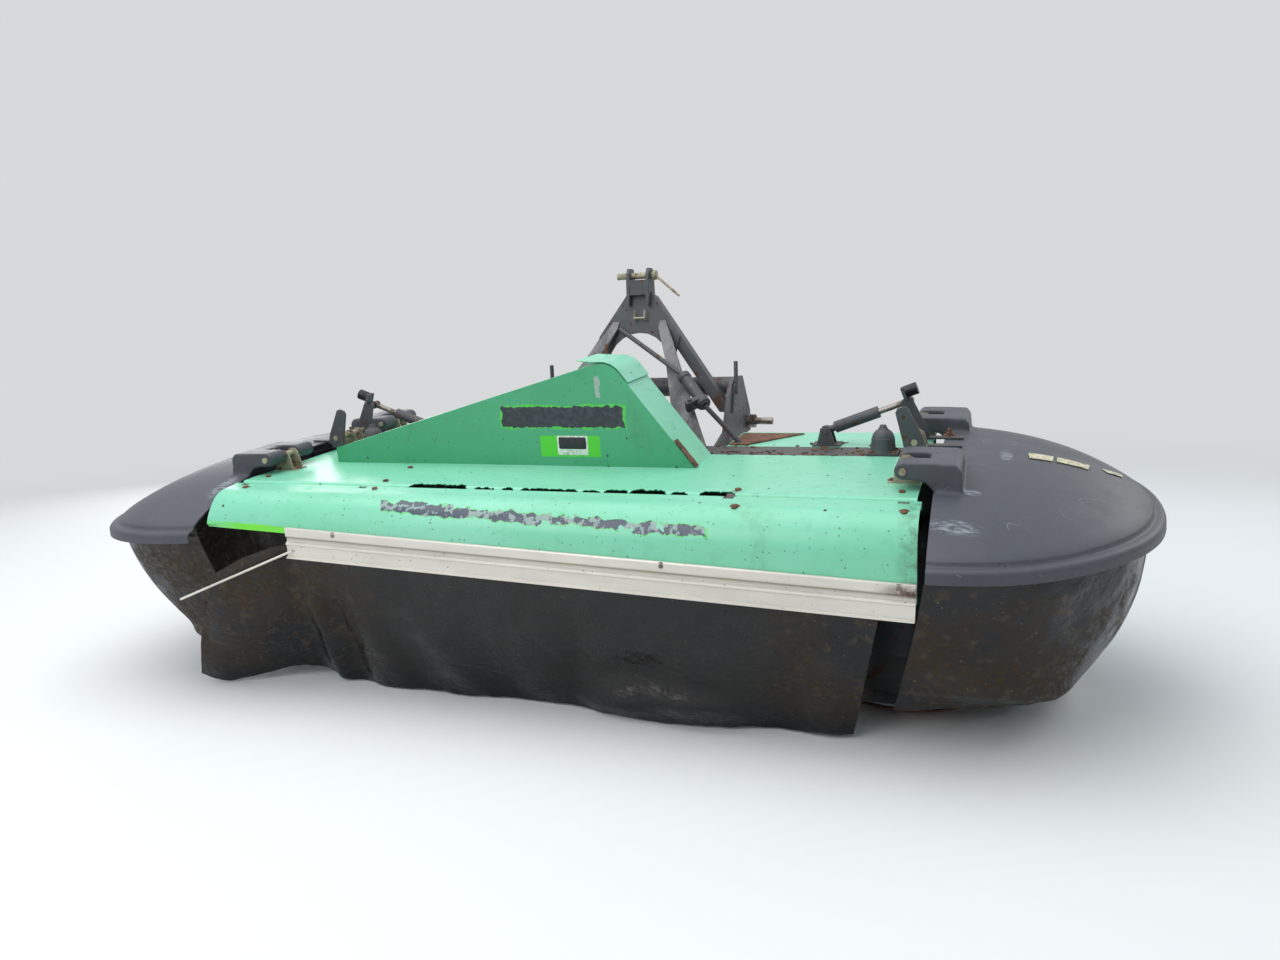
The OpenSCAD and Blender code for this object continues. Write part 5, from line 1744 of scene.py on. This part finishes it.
# The camera: its place, and its turn, tilt and roll in degrees.
CAMERA_PLACE = (1.330, -3.055 + DRUM_LINE, 1.164)
CAMERA_ANGLES = (20.5, 8.45, -1.86)


def light_lamps(strength):
    for name, place, aim, size, power in LAMPS:
        lamp = bpy.data.lights.new(name, "AREA")
        lamp.energy = power * strength
        lamp.size = size
        holder = bpy.data.objects.new(name, lamp)
        bpy.context.collection.objects.link(holder)
        holder.location = Vector(place) + Vector((0, DRUM_LINE, 0))
        holder.rotation_euler = (Vector(aim) - Vector(place)).to_track_quat("-Z", "Y").to_euler()


def set_camera(focal_length):
    yaw, pitch, roll = (math.radians(angle) for angle in CAMERA_ANGLES)
    flat = math.cos(pitch)
    forward = Vector((-math.sin(yaw) * flat, math.cos(yaw) * flat, -math.sin(pitch)))
    level = Vector((math.cos(yaw), math.sin(yaw), 0))
    rise = level.cross(forward)
    across = level * math.cos(roll) + rise * math.sin(roll)
    upright = rise * math.cos(roll) - level * math.sin(roll)
    lens = bpy.data.cameras.new("camera")
    lens.sensor_width = 36.0
    lens.lens = focal_length
    camera = bpy.data.objects.new("camera", lens)
    bpy.context.collection.objects.link(camera)
    rotation = Matrix((across, upright, -forward)).transposed()
    camera.matrix_world = Matrix.Translation(CAMERA_PLACE) @ rotation.to_4x4()
    bpy.context.scene.camera = camera


class MOWER_OT_stage(bpy.types.Operator):
    """Makes the floor, the lamps and the camera"""

    bl_idname = "mower.stage"
    bl_label = "Stage"

    def execute(self, context):
        stage = context.scene.mower_stage
        clear_selection()
        bpy.ops.mesh.primitive_plane_add(size=60, location=(0, 0, 0))
        floor = context.object
        floor.name = "floor"
        material, tree, shader = new_material("pale_floor")
        shader.inputs["Roughness"].default_value = 0.9
        shader.inputs["Base Color"].default_value = rgba(stage.floor)
        light_floor(tree, shader)
        floor.data.materials.append(material)
        world = bpy.data.worlds.new("studio")
        context.scene.world = world
        world.use_nodes = True
        light_sky(world.node_tree, stage.light)
        light_lamps(stage.light)
        set_camera(stage.lens)
        context.scene.view_settings.view_transform = "Standard"
        return {"FINISHED"}


class MOWER_PT_panel(bpy.types.Panel):
    """Lists the steps in the 3D view's sidebar"""

    bl_label = "Mower"
    bl_idname = "MOWER_PT_panel"
    bl_space_type = "VIEW_3D"
    bl_region_type = "UI"
    bl_category = "Mower"

    def draw(self, context):
        for step in STEPS:
            self.layout.operator(step.bl_idname)


STEPS = (MOWER_OT_finishes, MOWER_OT_covers, MOWER_OT_curtains, MOWER_OT_sheet_metal, MOWER_OT_small_parts,
         MOWER_OT_bolts, MOWER_OT_stage)
CLASSES = (MowerColours, MowerSizes, MowerStage, *STEPS, MOWER_PT_panel)


def register():
    for cls in CLASSES:
        bpy.utils.register_class(cls)
    bpy.types.Scene.mower_colours = PointerProperty(type=MowerColours)
    bpy.types.Scene.mower_sizes = PointerProperty(type=MowerSizes)
    bpy.types.Scene.mower_stage = PointerProperty(type=MowerStage)


def unregister():
    del bpy.types.Scene.mower_colours
    del bpy.types.Scene.mower_sizes
    del bpy.types.Scene.mower_stage
    for cls in reversed(CLASSES):
        bpy.utils.unregister_class(cls)


def main():
    register()
    bpy.ops.mower.finishes()
    bpy.ops.mower.covers()
    bpy.ops.mower.curtains()
    bpy.ops.mower.sheet_metal()
    bpy.ops.mower.small_parts()
    bpy.ops.mower.bolts()
    bpy.ops.mower.stage()


if __name__ == "__main__":
    main()
